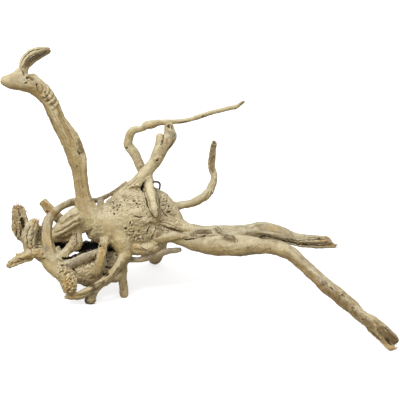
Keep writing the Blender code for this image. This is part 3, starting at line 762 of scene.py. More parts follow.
# %% Marks on the burl and the body
BODY_MARKS = {
    # Painted shade here: the dark slits, pits, cracks and wrinkles, the brown under the nose, beak
    # and blade, and the olive band and hollow between the hump and the right limbs. The pale ledge,
    # ribs and lights are painted highlight.
    "wrinkle_a": ("bark_and_shade", 0.8, 0.8, -0.9, (133, 184, 137, 186.5, 142, 188)),
    "wrinkle_b": ("bark_and_shade", 0.8, 0.8, -0.9, (130, 190, 133, 192, 136.5, 193)),
    "wrinkle_c": ("bark_and_shade", 0.7, 0.8, -0.8, (131, 186.5, 134.5, 188.6, 140, 190.4)),
    "edge_strand_dark": ("bark_and_shade", 0.6, 0.7, -0.8, (139, 177.5, 130, 184.5, 122, 191.5)),
    "edge_strand_pale": ("pale_and_highlight", 0.6, 1, 0.5, (139, 179.5, 132, 186, 125, 191.5)),
    "brown_patch": ("bark_and_shade", 0.6, 3.2, -0.4, (122.5, 196, 125, 197.6, 128, 198.4)),
    "lilac": ("grey", 0.5, 6, 0, (108, 200, 114, 203, 120, 206)),
    "worms_left": ("worm", 0.9, 6.5, 0, (107, 203, 114, 205, 123, 206)),
    "worms_top": ("worm", 1, 8, 0, (128, 196, 135, 201, 143, 207)),
    "worms_low": ("worm", 0.9, 6.5, 0, (126, 227, 134, 233, 142, 239)),
    "worms_hump": ("worm", 0.8, 6.5, 0, (158, 194, 164, 203, 171, 212)),
    "hump_grey": ("grey", 0.45, 4.5, 0, (162, 199, 168, 208, 172, 216)),
    "pit_a": ("dark", 0.85, 1.3, -1.3, (114, 208)),
    "pit_b": ("dark", 0.85, 1.2, -1.2, (117.2, 210)),
    "pit_c": ("dark", 0.85, 1.3, -1.3, (114, 214)),
    "pit_d": ("dark", 0.85, 1.2, -1.2, (120.6, 205.5)),
    "pit_e": ("bark_and_shade", 0.8, 1.1, -0.9, (110.4, 211.6)),
    "swelling": ("smooth", 1, 4.5, 0.8, (129, 210.5, 138, 210.5)),
    "swelling_pale": ("pale_and_highlight", 0.5, 3.8, 0, (130, 210.3, 138, 210.3)),
    "plain": ("smooth", 0.9, 9, 0, (102, 220, 112, 228, 120, 236)),
    "plain_tan": ("ochre", 0.3, 9, 0, (100, 222, 112, 229, 122, 238)),
    "body_slit": ("dark", 0.9, 1.1, -1.6, (133.8, 216.2, 138, 216.7, 142.3, 216.9)),
    "body_ledge": ("pale_and_highlight", 0.9, 1, 0.7, (135, 218.4, 140.8, 218.6)),
    "brown_smooth": ("bark_and_shade", 0.4, 5.5, 0, (134, 222.5, 140, 223.5, 147, 226.5)),
    "burl_light": ("pale_and_highlight", 0.4, 9, 0, (104, 226, 116, 230, 124, 236)),
    "crown_light": ("pale_and_highlight", 0.6, 6, 0, (130, 184, 138, 184, 142, 180)),
    "hump_light": ("pale_and_highlight", 0.45, 7, 0, (108, 208, 118, 205, 126, 200)),
    "nail_hole_a": ("dark", 1, 1.3, -1.8, (130.8, 222.8)),
    "nail_hole_b": ("dark", 0.8, 0.9, -1, (132.4, 225.2)),
    "nose": ("pale_and_highlight", 0.6, 1.5, 0, (145, 220.4, 151, 219.8, 156.5, 219.6)),
    "nose_underside_shade": ("bark_and_shade", 0.7, 1, -1, (148, 222.6, 152.5, 222.6, 156, 222.2)),
    "hook_crack": ("dark", 0.95, 1, -1.7, (149.5, 226, 146.8, 230, 147.2, 235)),
    "blade": ("pale_and_highlight", 0.9, 2, 0, (154.6, 227.6, 151.6, 232, 149.6, 236.6)),
    "blade_right": ("dark", 0.85, 0.9, -1.4, (156.6, 226.2, 154, 233, 150.6, 239.4)),
    "olive_shade_hollow": ("bark_and_shade", 0.75, 4, -1.6, (158.6, 228, 162, 231, 156, 237)),
    "olive_shade_band": ("bark_and_shade", 0.75, 6.4, -0.6, (158, 228.4, 168, 230, 180, 231.6)),
    "beak": ("pale_and_highlight", 0.7, 1.6, 0, (134, 245, 142, 247.2, 152, 248.8)),
    "beak_red": ("rust", 0.7, 1.2, 0, (147, 249.6, 151, 248.8)),
    "beak_underside_shade": ("dark", 0.6, 1, -1, (140, 246.5, 146, 250.2, 153, 252)),
    "body_brown_low": ("ochre", 0.5, 4, 0, (131, 244, 138, 249, 146, 251)),
    "hump_crack": ("dark", 0.9, 0.8, -1.3, (161, 208, 162.5, 211, 163.6, 213.6, 168, 217.3)),
    "hump_crack_b": ("bark_and_shade", 0.8, 0.8, -1, (160.2, 196, 159, 201, 160.5, 206.5)),
    "flute_a": ("bark_and_shade", 0.6, 0.9, -0.8, (158, 221, 168, 223.5, 179, 228.5)),
    "flute_b": ("bark_and_shade", 0.5, 0.9, -0.7, (161, 224.6, 170, 227.6, 180, 231)),
    "flute_c": ("pale_and_highlight", 0.5, 1.2, 0.5, (160, 222.8, 170, 225.6, 181, 230)),
    "flute_line": ("dark", 0.9, 0.9, -1.4, (160.7, 229.6, 171, 231, 177, 232.6, 183, 233.5)),
    "stub_back": ("ochre", 0.5, 6.5, 0, (152, 250, 155, 256, 155, 262)),
    "stub_back_dark": ("bark_and_shade", 0.7, 3, 0, (150, 261, 156, 263, 161, 259)),
}
print(len(BODY_MARKS), "marks on the burl and the body")

# %% Marks on the two right limbs
LIMB_MARKS = {
    # Painted shade here: the black crack, the dark grooves and lines, the crotch, the low edge and
    # the ochre underside of the front limb. The pale tops of the limbs are partly bleaching and
    # partly painted highlight.
    "long_crack": (
        "black_shade", 1, 1.35, -2.6, (184, 239.8, 190, 239.2, 197, 238, 206, 236, 216, 235.2),
    ),
    "crack_shade": ("bark_and_shade", 0.8, 2, 0, (186, 238.4, 197, 236.6, 208, 234.6)),
    "bark_wedge": ("bark_and_shade", 0.8, 5.4, 0.4, (191, 235.4, 197, 233.4, 205, 232.6, 210, 233.6)),
    "bark_wedge_grey": ("grey", 0.8, 6.6, 0, (191, 235.4, 197, 233.4, 205, 232.6, 210, 233.6)),
    "bark_wedge_rim": ("pale_and_highlight", 0.5, 0.7, 0.5, (191, 231.6, 199, 229.4, 206, 229, 212.5, 231.6)),
    "bump": ("grey", 0.85, 4.4, 1, (215.5, 229, 220, 230.5)),
    "bump_dark": ("bark_and_shade", 0.6, 3, 0, (217, 230, 222, 233, 226, 236)),
    "bump_line_a": ("dark", 0.7, 0.7, -0.9, (214, 229.5, 217, 226.8, 221, 230.5, 224, 233.6)),
    "bump_line_b": ("bark_and_shade", 0.8, 0.7, -0.9, (217, 231.5, 221, 234, 224.5, 236.4)),
    "bump_line_c": ("bark_and_shade", 0.7, 0.7, -0.8, (222.6, 229, 225.4, 232.4, 228, 235)),
    "bark_tongue": ("bark_and_shade", 0.8, 5.6, 0.3, (225, 237, 230, 238.4, 235, 240.4)),
    "bark_tongue_grey": ("grey", 0.8, 7, 0, (225, 237, 230, 238.4, 235, 240.4)),
    "bark_tongue_top": ("dark", 0.7, 0.8, -0.8, (223.5, 236, 229, 235.2, 234, 237.4, 238, 240.6)),
    "bark_tongue_hole": ("dark", 0.95, 1, -1.2, (237.4, 241.2)),
    "top_bleach_and_highlight": ("pale_and_highlight", 0.5, 3, 0, (176, 219, 190, 226.5, 205, 228)),
    "top_smear": ("grey", 0.6, 2, 0, (234, 227.6, 241, 226.8, 248, 227)),
    "top_smear_b": ("bark_and_shade", 0.45, 1.8, 0, (250, 229.5, 256, 226, 263, 225)),
    "low_stain": ("ochre", 1, 2, 0, (203.6, 249.6, 206.6, 250.6)),
    "low_stain_wide": ("ochre", 0.5, 4, 0, (198, 249.6, 210, 251.6, 228, 253)),
    "low_dot": ("dark", 0.9, 0.7, -0.4, (221.6, 251.4)),
    "low_pale": ("pale_and_highlight", 0.4, 4, 0, (236, 243, 250, 242, 264, 242)),
    "crotch": ("dark", 0.8, 2.2, -1.2, (257, 238, 261, 236.8, 266, 236.6)),
    "crotch_wide": ("bark_and_shade", 0.5, 3.6, 0, (246, 234, 254, 233.4, 262, 232.6)),
    "long_groove": (
        "dark", 0.95, 0.9, -1.4, (262, 234.8, 276, 238, 290, 242, 303, 244.6, 320, 245.6),
    ),
    "long_groove_b": ("dark", 0.8, 0.8, -1, (284, 238, 298, 240.6, 312, 240.2, 326, 239.4)),
    "fibre_ridge_a": ("ochre", 0.9, 0.9, 0.5, (264, 236.8, 277, 239, 290, 243)),
    "fibre_ridge_b": ("rust", 0.6, 0.8, 0.3, (264, 233.6, 278, 234.4, 292, 238)),
    "groove_low": ("bark_and_shade", 0.8, 0.8, -1, (268, 239.4, 280, 241.4, 293, 244.6)),
    "back_specks": ("ochre", 0.35, 3.5, 0, (266, 228, 276, 228.4, 286, 231.6)),
    "back_rust": ("rust", 0.6, 2.2, 0, (286, 240.6, 300, 243, 318, 244.6, 331, 245)),
    "back_brown": ("bark_and_shade", 0.35, 3.6, 0, (286, 241, 298, 244, 312, 245, 326, 245)),
    "back_grey": ("grey", 0.35, 3.6, 0, (284, 234, 298, 238, 312, 239.5)),
    "torn_back": ("ochre", 0.9, 4.4, 0, (318, 240.5, 326, 242.4, 334, 245.6)),
    "torn_line_a": ("dark", 0.9, 0.7, -1, (312.7, 241, 319, 239, 326, 237.6)),
    "torn_line_b": ("dark", 0.9, 0.7, -1.1, (316, 244.4, 322, 243.2, 329, 240.8)),
    "torn_line_c": ("rust", 0.9, 0.7, -1, (318, 246, 325, 245.6, 332, 243.6)),
    "torn_tip": ("dark", 0.8, 0.9, 0, (334.5, 246, 336.4, 246.3)),
    "wrinkle_d": ("bark_and_shade", 0.5, 0.7, -0.6, (247.6, 249.4, 251.6, 246.4, 256, 243.8)),
    "wrinkle_e": ("bark_and_shade", 0.5, 0.7, -0.6, (251.4, 250, 255.6, 247.4, 259.8, 244.6)),
    "wrinkle_f": ("bark_and_shade", 0.5, 0.7, -0.5, (262, 253, 264.6, 250.4, 270, 248.6)),
    "front_top": ("pale_and_highlight", 0.35, 3.2, 0, (270, 243, 288, 249, 304, 262, 320, 276.6)),
    "front_underside_shade": ("ochre", 0.8, 4.2, 0, (276, 255, 292, 261.5, 312, 279, 334, 299)),
    "front_brown_a": ("bark_and_shade", 0.55, 3.2, 0, (288, 257, 298, 263.6, 308, 271, 318, 281)),
    "front_brown_b": ("bark_and_shade", 0.8, 5.2, 0, (318, 281, 330, 291, 342, 301, 354, 312)),
    "front_brown_c": ("bark_and_shade", 0.8, 5, 0, (354, 312, 364, 320, 374, 327)),
    "front_brown_d": ("bark_and_shade", 0.6, 2.2, 0, (312, 283, 324, 294, 336, 303.6, 350, 314.6, 362, 324)),
    "front_gap_shade": ("ochre", 0.5, 3, 0, (262, 250, 272, 251.6, 282, 256)),
    "front_edge_light": ("grey", 0.4, 1.8, 0, (292, 250.6, 306, 263, 322, 277, 338, 290)),
    "front_rust_a": ("rust", 0.45, 2.6, 0, (322, 288, 332, 296, 342, 304.6, 352, 313)),
    "front_rust_b": ("rust", 0.5, 3.6, 0, (372, 333, 379, 338, 386, 345)),
    "front_end_dark": ("bark_and_shade", 0.95, 6.5, 0, (380, 328, 388, 336, 394, 343)),
    "spot_a": ("dark", 0.8, 1, -0.4, (295.6, 264, 297, 265.4)),
    "spot_e": ("dark", 0.7, 1, -0.3, (322, 283, 325, 285.6)),
    "spot_f": ("dark", 0.7, 1.1, -0.3, (330, 287, 333, 290)),
    "spot_g": ("dark", 0.8, 1.3, -0.4, (341.6, 294.6, 345, 297.6)),
    "spot_h": ("dark", 0.7, 1, -0.3, (352, 306, 354.6, 309)),
    "spot_i": ("dark", 0.7, 0.9, -0.3, (362, 318.6, 365, 320.6)),
    "spot_b": ("bark_and_shade", 0.6, 1, -0.2, (300.6, 261.6)),
    "spot_c": ("ochre", 0.8, 1.2, 0.2, (301, 267.4)),
    "streak_a": ("bark_and_shade", 0.6, 0.9, -0.3, (307, 268.4, 312, 272.6)),
    "smear_a": ("grey", 0.8, 2, -0.2, (317.6, 277, 322.6, 279.6, 327, 284)),
    "smear_b": ("ochre", 0.9, 2.2, 0, (323, 288, 329, 293)),
    "smear_c": ("rust", 0.5, 1.9, 0.2, (331, 284.4, 336, 287, 341, 291)),
    "smear_d": ("pale_and_highlight", 0.9, 1.2, 0.4, (340.6, 291.4)),
    "smear_e": ("bark_and_shade", 0.75, 2.4, -0.2, (343, 293, 347, 297.5, 351, 301)),
    "smear_f": ("ochre", 0.9, 2.4, 0, (332, 297, 337, 301)),
    "smear_g": ("bark_and_shade", 0.9, 1.7, -0.3, (350.6, 307, 353, 309)),
    "smear_h": ("bark_and_shade", 0.6, 1.9, -0.2, (354, 312, 359, 315.6)),
    "hump_pale": ("pale_and_highlight", 0.6, 2.4, 0.4, (367, 315, 373, 316, 379, 320)),
    "hump_speckle": ("rust", 0.75, 2, -0.2, (363, 318, 369, 322.4, 374, 326)),
    "hump_dark": ("bark_and_shade", 0.8, 1.8, -0.3, (375, 322.6, 379, 326)),
    "torn_front": ("bark_and_shade", 1, 7, -0.3, (378, 327, 384, 332, 391, 338, 395, 342)),
    "torn_front_ochre": ("rust", 0.6, 2.6, 0.2, (377, 327, 384, 334, 391, 343)),
    "torn_front_edge": ("grey", 0.9, 1.4, 0.4, (390, 332.6, 395.6, 337, 398, 341)),
    "torn_front_dark": ("dark", 0.9, 1.1, -0.5, (385, 327.6, 389, 331)),
    "notch_line": ("dark", 0.95, 1.6, 0, (384.6, 337, 388.4, 341, 391, 345.6)),
    "low_edge": ("dark", 0.7, 1.2, -0.3, (367, 327, 375, 334.6, 382, 341)),
    "foot_prong": ("ochre", 0.8, 2.6, 0, (385, 342, 389, 346, 393, 350)),
}
print(len(LIMB_MARKS), "marks on the right limbs")

# %% Marks on the left tangle of roots
TANGLE_MARKS = {
    # Painted shade here: the black caves and their grey slope, the dark cracks, hollows and stub
    # splits, and the brown and dark undersides of the ribs, peg, strut, web and burl. The pale ribs
    # and the arch's left edge are painted highlight.
    "stub_a_cream": ("pale_and_highlight", 0.8, 2.4, 0, (14.6, 210, 15, 216, 15.6, 221)),
    "stub_a_core": ("rust", 0.8, 2, -0.8, (18.4, 208, 18.6, 213, 19.2, 216.5)),
    "stub_a_specks": ("dark", 0.8, 0.8, -0.6, (18, 211, 20, 214, 19.4, 217.6)),
    "stub_a_hollow": ("bark_and_shade", 0.9, 4.2, -3.6, (21.4, 219, 23.4, 225, 24, 230)),
    "stub_a_hollow_dark": ("dark", 0.95, 2.6, -1, (21.6, 218, 23, 224, 23.6, 229)),
    "stub_a_crack": ("dark", 0.9, 0.8, -1.2, (14.4, 222, 16.2, 226.4)),
    "stub_a_crack_b": ("dark", 0.9, 0.9, -1.4, (15.5, 228, 17.2, 236.4)),
    "stub_a_crack_c": ("dark", 0.85, 1.1, -1.6, (20.6, 229, 21.6, 237)),
    "stub_a_top": ("rust", 0.8, 3.8, 0, (13.4, 206, 18, 207, 23, 206.6)),
    "stub_b_top": ("ochre", 0.9, 3, 0, (32.6, 222.6, 36, 221.4, 38.4, 225)),
    "stub_b_top_red": ("rust", 0.7, 1.6, -0.5, (34.6, 220.4, 36.4, 223.4)),
    "stub_b_body": ("pale_and_highlight", 0.8, 4.6, 0, (31, 229, 30, 237)),
    "stub_b_flute_a": ("dark", 0.7, 0.8, -1.1, (30.4, 225.4, 28.2, 231, 26.8, 237.4, 28, 244.6)),
    "stub_b_flute_b": ("dark", 0.7, 0.8, -1, (34, 224.4, 32, 230.6, 30.6, 237.6, 31.6, 244.6)),
    "stub_b_flute_c": ("bark_and_shade", 0.7, 0.8, -1, (34.6, 229.6, 33, 236, 31.6, 241)),
    "stub_b_fold_a": ("rust", 0.8, 1, -1, (26.6, 241.6, 29, 247, 31.6, 252)),
    "stub_b_fold_b": ("rust", 0.7, 0.9, -0.9, (30.6, 241, 32.6, 246, 34, 250.4)),
    "chip_a": ("grey", 0.8, 2.2, 0.4, (37.2, 229.6, 39, 236)),
    "chip_hole": ("dark", 1, 1.2, -1.6, (38, 231.6)),
    "chip_line_a": ("dark", 0.85, 0.8, -1.1, (34, 244.6, 42, 244.6)),
    "chip_line_b": ("dark", 0.85, 0.8, -1.1, (34, 248.4, 42, 248)),
    "chip_line_c": ("bark_and_shade", 0.8, 0.8, -0.9, (36, 240.4, 42, 240)),
    "ledge_ochre": ("ochre", 0.8, 2.4, 0.4, (34, 251.8, 39, 252, 43.4, 253.4)),
    "ledge_hole_a": ("dark", 0.9, 1.1, -1.1, (44, 258.5)),
    "ledge_hole_b": ("dark", 0.8, 1, -0.9, (43, 254.2)),
    "splinter_wood": ("ochre", 0.7, 3, 0, (10, 264.5, 20, 259.4, 30, 256, 40, 256)),
    "splinter_line": (
        "dark", 0.9, 0.8, -1.1, (11.6, 262.4, 15, 260, 18, 258.6, 22, 259, 26, 258.6),
    ),
    "splinter_line_b": ("bark_and_shade", 0.8, 0.7, -0.9, (14, 264, 20, 261.4, 28, 258.8, 36, 257.4)),
    "mass_smooth": ("smooth", 1, 6, 0, (42, 260, 50, 266, 57, 271)),
    "mass_tan": ("ochre", 0.25, 6, 0, (42, 260, 50, 267, 57, 272)),
    "crumbled": ("ochre", 0.9, 7.5, 0, (66, 277, 69, 285, 69, 291)),
    "crumbled_bits": ("worm", 1, 6.5, 0, (67, 278, 69, 285, 69, 291)),
    "net": ("worm", 1, 5.5, 0, (60, 264, 64, 270, 70, 274)),
    "net_pale": ("pale_and_highlight", 0.4, 4.5, 0, (59, 263, 63, 268)),
    "arch_pale": ("grey", 0.3, 4, 0, (75, 200.5, 62, 206, 52, 216, 46.4, 232)),
    "arch_knot": ("bark_and_shade", 0.85, 1.9, 0.4, (70.2, 203, 73, 201.8)),
    "arch_specks": ("grey", 0.7, 2.6, 0, (46.4, 243, 47, 252)),
    "arch_right": ("bark_and_shade", 0.6, 1.4, 0, (51, 224, 51, 235, 53, 246)),
    "arch_left": ("pale_and_highlight", 0.6, 1.6, 0.2, (43.4, 224, 42.6, 235, 43.6, 246)),
    "back_root": ("grey", 0.55, 2.6, 0, (127, 184, 112, 192.5, 100, 199, 88, 200.6)),
    "back_root_slit_a": ("pale_and_highlight", 0.7, 0.8, 0, (103.5, 202, 107, 199.6)),
    "back_root_slit_b": ("pale_and_highlight", 0.7, 0.8, 0, (115.5, 193.5, 119, 191.6)),
    "stay": ("bark_and_shade", 0.6, 3, 0, (100.6, 202, 101.2, 211)),
    "stay_spot": ("pale_and_highlight", 1, 1.8, 0, (94, 205, 97, 206)),
    "peg_wood": ("ochre", 0.8, 4.2, 0, (44, 202.6, 52, 211.4, 58, 217.4)),
    "peg_shade": ("bark_and_shade", 0.45, 4.2, 0, (44, 203.6, 52, 212.4, 58, 218.4)),
    "peg_spot": ("rust", 0.9, 1.2, 0, (43, 201.6)),
    "peg_dark": ("dark", 0.8, 1.4, -0.6, (46.4, 210.4, 49, 213)),
    "peg_underside_shade": ("dark", 0.7, 2, 0, (54, 220.6, 60, 222.4)),
    "rib_groove_a": ("bark_and_shade", 0.6, 0.8, -0.6, (57, 229.6, 64, 224.4, 71, 219.6, 78, 215.6)),
    "rib_groove_b": ("bark_and_shade", 0.7, 0.9, -0.6, (56.4, 233.6, 64, 228.8, 72, 223.4, 79, 220)),
    "rib_groove_c": ("bark_and_shade", 0.8, 0.9, -0.7, (57.6, 237.4, 66, 232.8, 74, 227.8, 80, 224)),
    "rib_light": ("pale_and_highlight", 0.7, 1.2, 0, (62, 227.4, 71, 221.6, 79, 217.6)),
    "rib_light_b": ("pale_and_highlight", 0.6, 1.2, 0, (58, 234, 66, 229.4, 73, 225)),
    "rib_underside_shade": ("dark", 0.6, 3.2, 0, (57, 238, 66, 237, 75, 234)),
    "strut_wood": ("rust", 0.45, 3.5, 0, (75, 231, 75, 242, 70, 250)),
    "strut_shade": ("bark_and_shade", 0.35, 3.5, 0, (76, 231, 77, 242, 72, 250)),
    "strut_line": ("dark", 0.7, 0.7, -0.9, (76.4, 233, 76.8, 243, 72, 250.6)),
    "cave_a": ("black_shade", 1, 5, -2.6, (56, 245, 61, 246, 65, 246)),
    "cave_b": ("black_shade", 1, 6, -2.6, (76, 253, 80, 249, 85, 246, 91, 245, 100, 246)),
    "cave_g": ("black_shade", 1, 2.4, 0, (62, 258, 67, 258.6, 72, 257.4)),
    "cave_c": ("black_shade", 1, 4, -3.4, (110, 248.8, 114.6, 248.6)),
    "cave_c_deep": ("black_shade", 1, 4.6, 0, (109, 250.4, 114, 250.4)),
    "cave_slope_shade": ("grey", 0.7, 3, 0, (108, 257, 113.4, 258.6)),
    "cave_d": ("dark", 0.9, 1.2, -1.5, (107.6, 262)),
    "cave_e": ("dark", 0.9, 1.2, -1.8, (104.6, 267, 113, 267)),
    "cave_f": ("black_shade", 0.95, 2.9, -3, (102.6, 274.6, 108.4, 274.8)),
    "crack_a": ("dark", 0.9, 1, -1.6, (63, 257.4, 67, 259, 72, 259)),
    "crack_b": ("dark", 0.9, 1, -1.5, (95.4, 254.4, 97.6, 260.6)),
    "crack_c": ("dark", 0.9, 1, -1.5, (71, 268.4, 73.4, 269.6, 76.4, 272.8)),
    "arch_ochre": ("ochre", 0.6, 5, 0, (46.4, 228, 47.4, 240, 50, 254)),
    "stub_a_brown": ("bark_and_shade", 0.5, 6, 0, (14, 214, 15, 224, 19, 233)),
    "stub_a_ochre": ("ochre", 0.5, 6, 0, (14, 211, 15, 224, 19, 236)),
    "diagonal_grey": ("grey", 0.65, 4, 0, (64, 267, 80, 260, 94, 253)),
    "burl_pale": ("pale_and_highlight", 0.45, 7, 0, (76, 268, 84, 270, 92, 266)),
    "diagonal_spot": ("bark_and_shade", 0.9, 1.2, -0.5, (83.5, 262.4)),
    "diagonal_ochre": ("ochre", 0.8, 1.7, 0, (84, 261.4, 90, 259, 96.4, 255.6)),
    "diagonal_worms": ("worm", 0.9, 5, 0, (82, 264, 87, 265, 93, 262)),
    "orange_wood": ("ochre", 0.85, 3.2, 0, (103.6, 243, 102.2, 250, 100.6, 258, 98.2, 268)),
    "orange_stain": ("rust", 0.9, 1.5, 0, (103, 245.6, 105.4, 250.4)),
    "orange_left": ("dark", 0.8, 0.9, -1.6, (99.4, 243, 98.2, 254, 95.4, 266)),
    "orange_right": ("dark", 0.8, 0.9, -1.6, (107, 245, 105, 256, 102.8, 268)),
    "burl_olive": ("grey", 0.25, 6.5, 0, (78, 273, 84, 277, 90, 277)),
    "burl_brown": ("bark_and_shade", 0.6, 4.6, 0, (88.6, 277, 97, 276, 104, 271)),
    "burl_stem": ("bark_and_shade", 0.7, 3.6, 0, (90, 284, 95, 289, 92, 295)),
    "burl_underside_shade": ("dark", 0.65, 3.6, 0, (84, 286, 95, 286, 104, 281)),
    "runner_line": ("dark", 0.75, 0.7, -1, (122, 263, 110, 279, 96, 289, 79, 296.4)),
    "runner_red": ("rust", 0.7, 1.8, 0, (123.6, 258.4, 128, 260)),
    "runner_tip": ("rust", 0.9, 1.2, 0, (70, 295.8, 73, 295.6)),
    "knob_ring": (
        "dark", 0.85, 0.9, -0.9, (87.4, 296.6, 85.8, 300.4, 88, 303.9, 92.2, 303.6, 94.7, 300),
    ),
    "knob_centre": ("pale_and_highlight", 0.9, 2, 0.3, (90, 299.4)),
    "knob_dark": ("dark", 0.8, 0.9, -0.6, (87.6, 301.4, 89, 302.6)),
    "peg_mark": ("grey", 0.9, 1.2, -0.4, (123, 290)),
    "peg_red": ("rust", 0.9, 1.3, -0.3, (123.5, 264)),
    "peg_tan": ("ochre", 0.35, 4.5, 0, (123, 264, 123, 280, 123.6, 296)),
    "web_shade": ("bark_and_shade", 0.6, 2.2, 0, (111, 280, 118, 281)),
    "twig_grey": ("grey", 0.6, 3, 0, (130, 259, 150, 257, 166, 251.6, 180, 249.6)),
    "twig_top": ("pale_and_highlight", 0.6, 0.9, 0.2, (134, 257.8, 148, 256.2, 162, 251.2, 176, 248.8)),
    "twig_tip": ("dark", 0.7, 1, 0, (181.4, 249.6)),
}

MARKS = {**HEAD_MARKS, **NECK_MARKS, **BRANCH_MARKS, **BODY_MARKS, **LIMB_MARKS, **TANGLE_MARKS}
print(len(TANGLE_MARKS), "marks on the tangle,", len(MARKS), "in all")

# %% [markdown]
# ## From the board to the wood
# A mark is drawn on the flat board, and the wood lies behind it. A ray from the eye through the
# board finds the skin, as a projector would throw the drawing onto it. Where a line of sight
# just misses a limb, the place where it passes closest is used.

# %% Throw a drawing onto the skin
DEEP = -2.0
HALO = 2.1
LAYERS = (0.0, 0.35, 0.7, 1.0)
DEPTHS_TRIED = np.arange(-112.0, 110.0, 4.0)


def depth_of(tree, across, down):
    """How far behind the board the skin is met, or where the line of sight passes closest."""
    eye, aim = Vector(EYE), Vector(spot(across, down))
    hit = tree.ray_cast(eye, (aim - eye).normalized())[0]
    if hit is not None:
        return ((hit - eye).length / (aim - eye).length - 1) * EYE_DISTANCE
    gaps = [tree.find_nearest(Vector(spot(across, down, back)))[3] for back in DEPTHS_TRIED]
    return DEPTHS_TRIED[int(np.argmin(gaps))]


def along_path(path, step):
    """Evenly spaced board places along a path, and how far along each lies, from 0 to 1."""
    path = np.reshape(path, (-1, 2)).astype(float)
    legs = np.linalg.norm(np.diff(path, axis=0), axis=1)
    travelled = np.concatenate(([0.0], np.cumsum(legs)))
    if travelled[-1] == 0:
        return path, np.array([0.5])
    when = np.linspace(0, travelled[-1], int(travelled[-1] / step) + 2)
    places = np.stack([np.interp(when, travelled, path[:, i]) for i in (0, 1)], axis=1)
    return places, when / travelled[-1]


def dots_of(mark, tree):
    """The mark as a chain of dots (x, y, z, reach) on the skin, and below it where it is deep."""
    _, _, reach, push, path = mark
    places, when = along_path(path, max(0.5, reach * 0.5))
    sizes = reach * (0.4 + 0.6 * np.sin(np.pi * when) ** 0.5) if len(when) > 1 else [reach]
    dots = []
    for (across, down), size in zip(places, sizes):
        on_board = Vector(spot(across, down, depth_of(tree, across, down)))
        skin, normal = tree.find_nearest(on_board)[:2]
        layers = LAYERS if push <= DEEP else (0.0,)
        dots += [(*(skin + normal * push * layer), size) for layer in layers]
    return np.array(dots)


def reach_of(points, dots):
    """Points near a chain of dots, and how far off each is: 0 on a dot, 1 at its edge."""
    widest = dots[:, 3].max() * HALO
    low, high = dots[:, :3].min(0) - widest, dots[:, :3].max(0) + widest
    near = np.flatnonzero(np.all((points > low) & (points < high), axis=1))
    if not len(near):
        return near, np.zeros(0)
    away = np.linalg.norm(points[near][:, None] - dots[None, :, :3], axis=2)
    return near, (away / dots[:, 3]).min(1)


def tree_of(thing):
    """A search tree over a mesh, in millimetres."""
    sides = np.empty(len(thing.data.loops), np.int32)
    thing.data.loops.foreach_get("vertex_index", sides)
    return BVHTree.FromPolygons(points_of(thing).tolist(), sides.reshape(-1, 4).tolist())


# %% [markdown]
# ## Deep holes first, then a new skin
# A hole five millimetres deep would stretch the small faces around it into long slivers. So
# the deep marks are pressed in first, and a second, finer remesh gives their walls fresh faces.
# The shallow marks come after it, because that remesh would round them off.

# %% Press in the deep marks
tree = tree_of(root)
points, normals = points_of(root), normals_of(root)
chains = {name: dots_of(mark, tree) for name, mark in MARKS.items() if mark[3] <= DEEP}
push = np.zeros(len(points))
for name, chain in chains.items():
    near, ratio = reach_of(points, chain[::len(LAYERS)])
    push[near] = np.minimum(push[near], MARKS[name][3] * (1 - smooth_step(ratio, 0.25, 1.15)))
move_points(root, points + normals * push[:, None])
print(len(chains), "deep marks", round(time.time() - started, 1), "s")

# %% [markdown]
# ## Strips that lie on the wood
# Some of this root's features stand proud: the flat strap, the blade, the flutes of the torn
# stubs, the ropes at the back of the neck. Each is one or more thin tubes side by side, bent
# over the skin behind its drawn path. The second remesh melts them in, so they share its grain.
# A strip is written as its half width, the radius of its tubes, how far it is lifted towards the
# eye, and its path across and down the board.

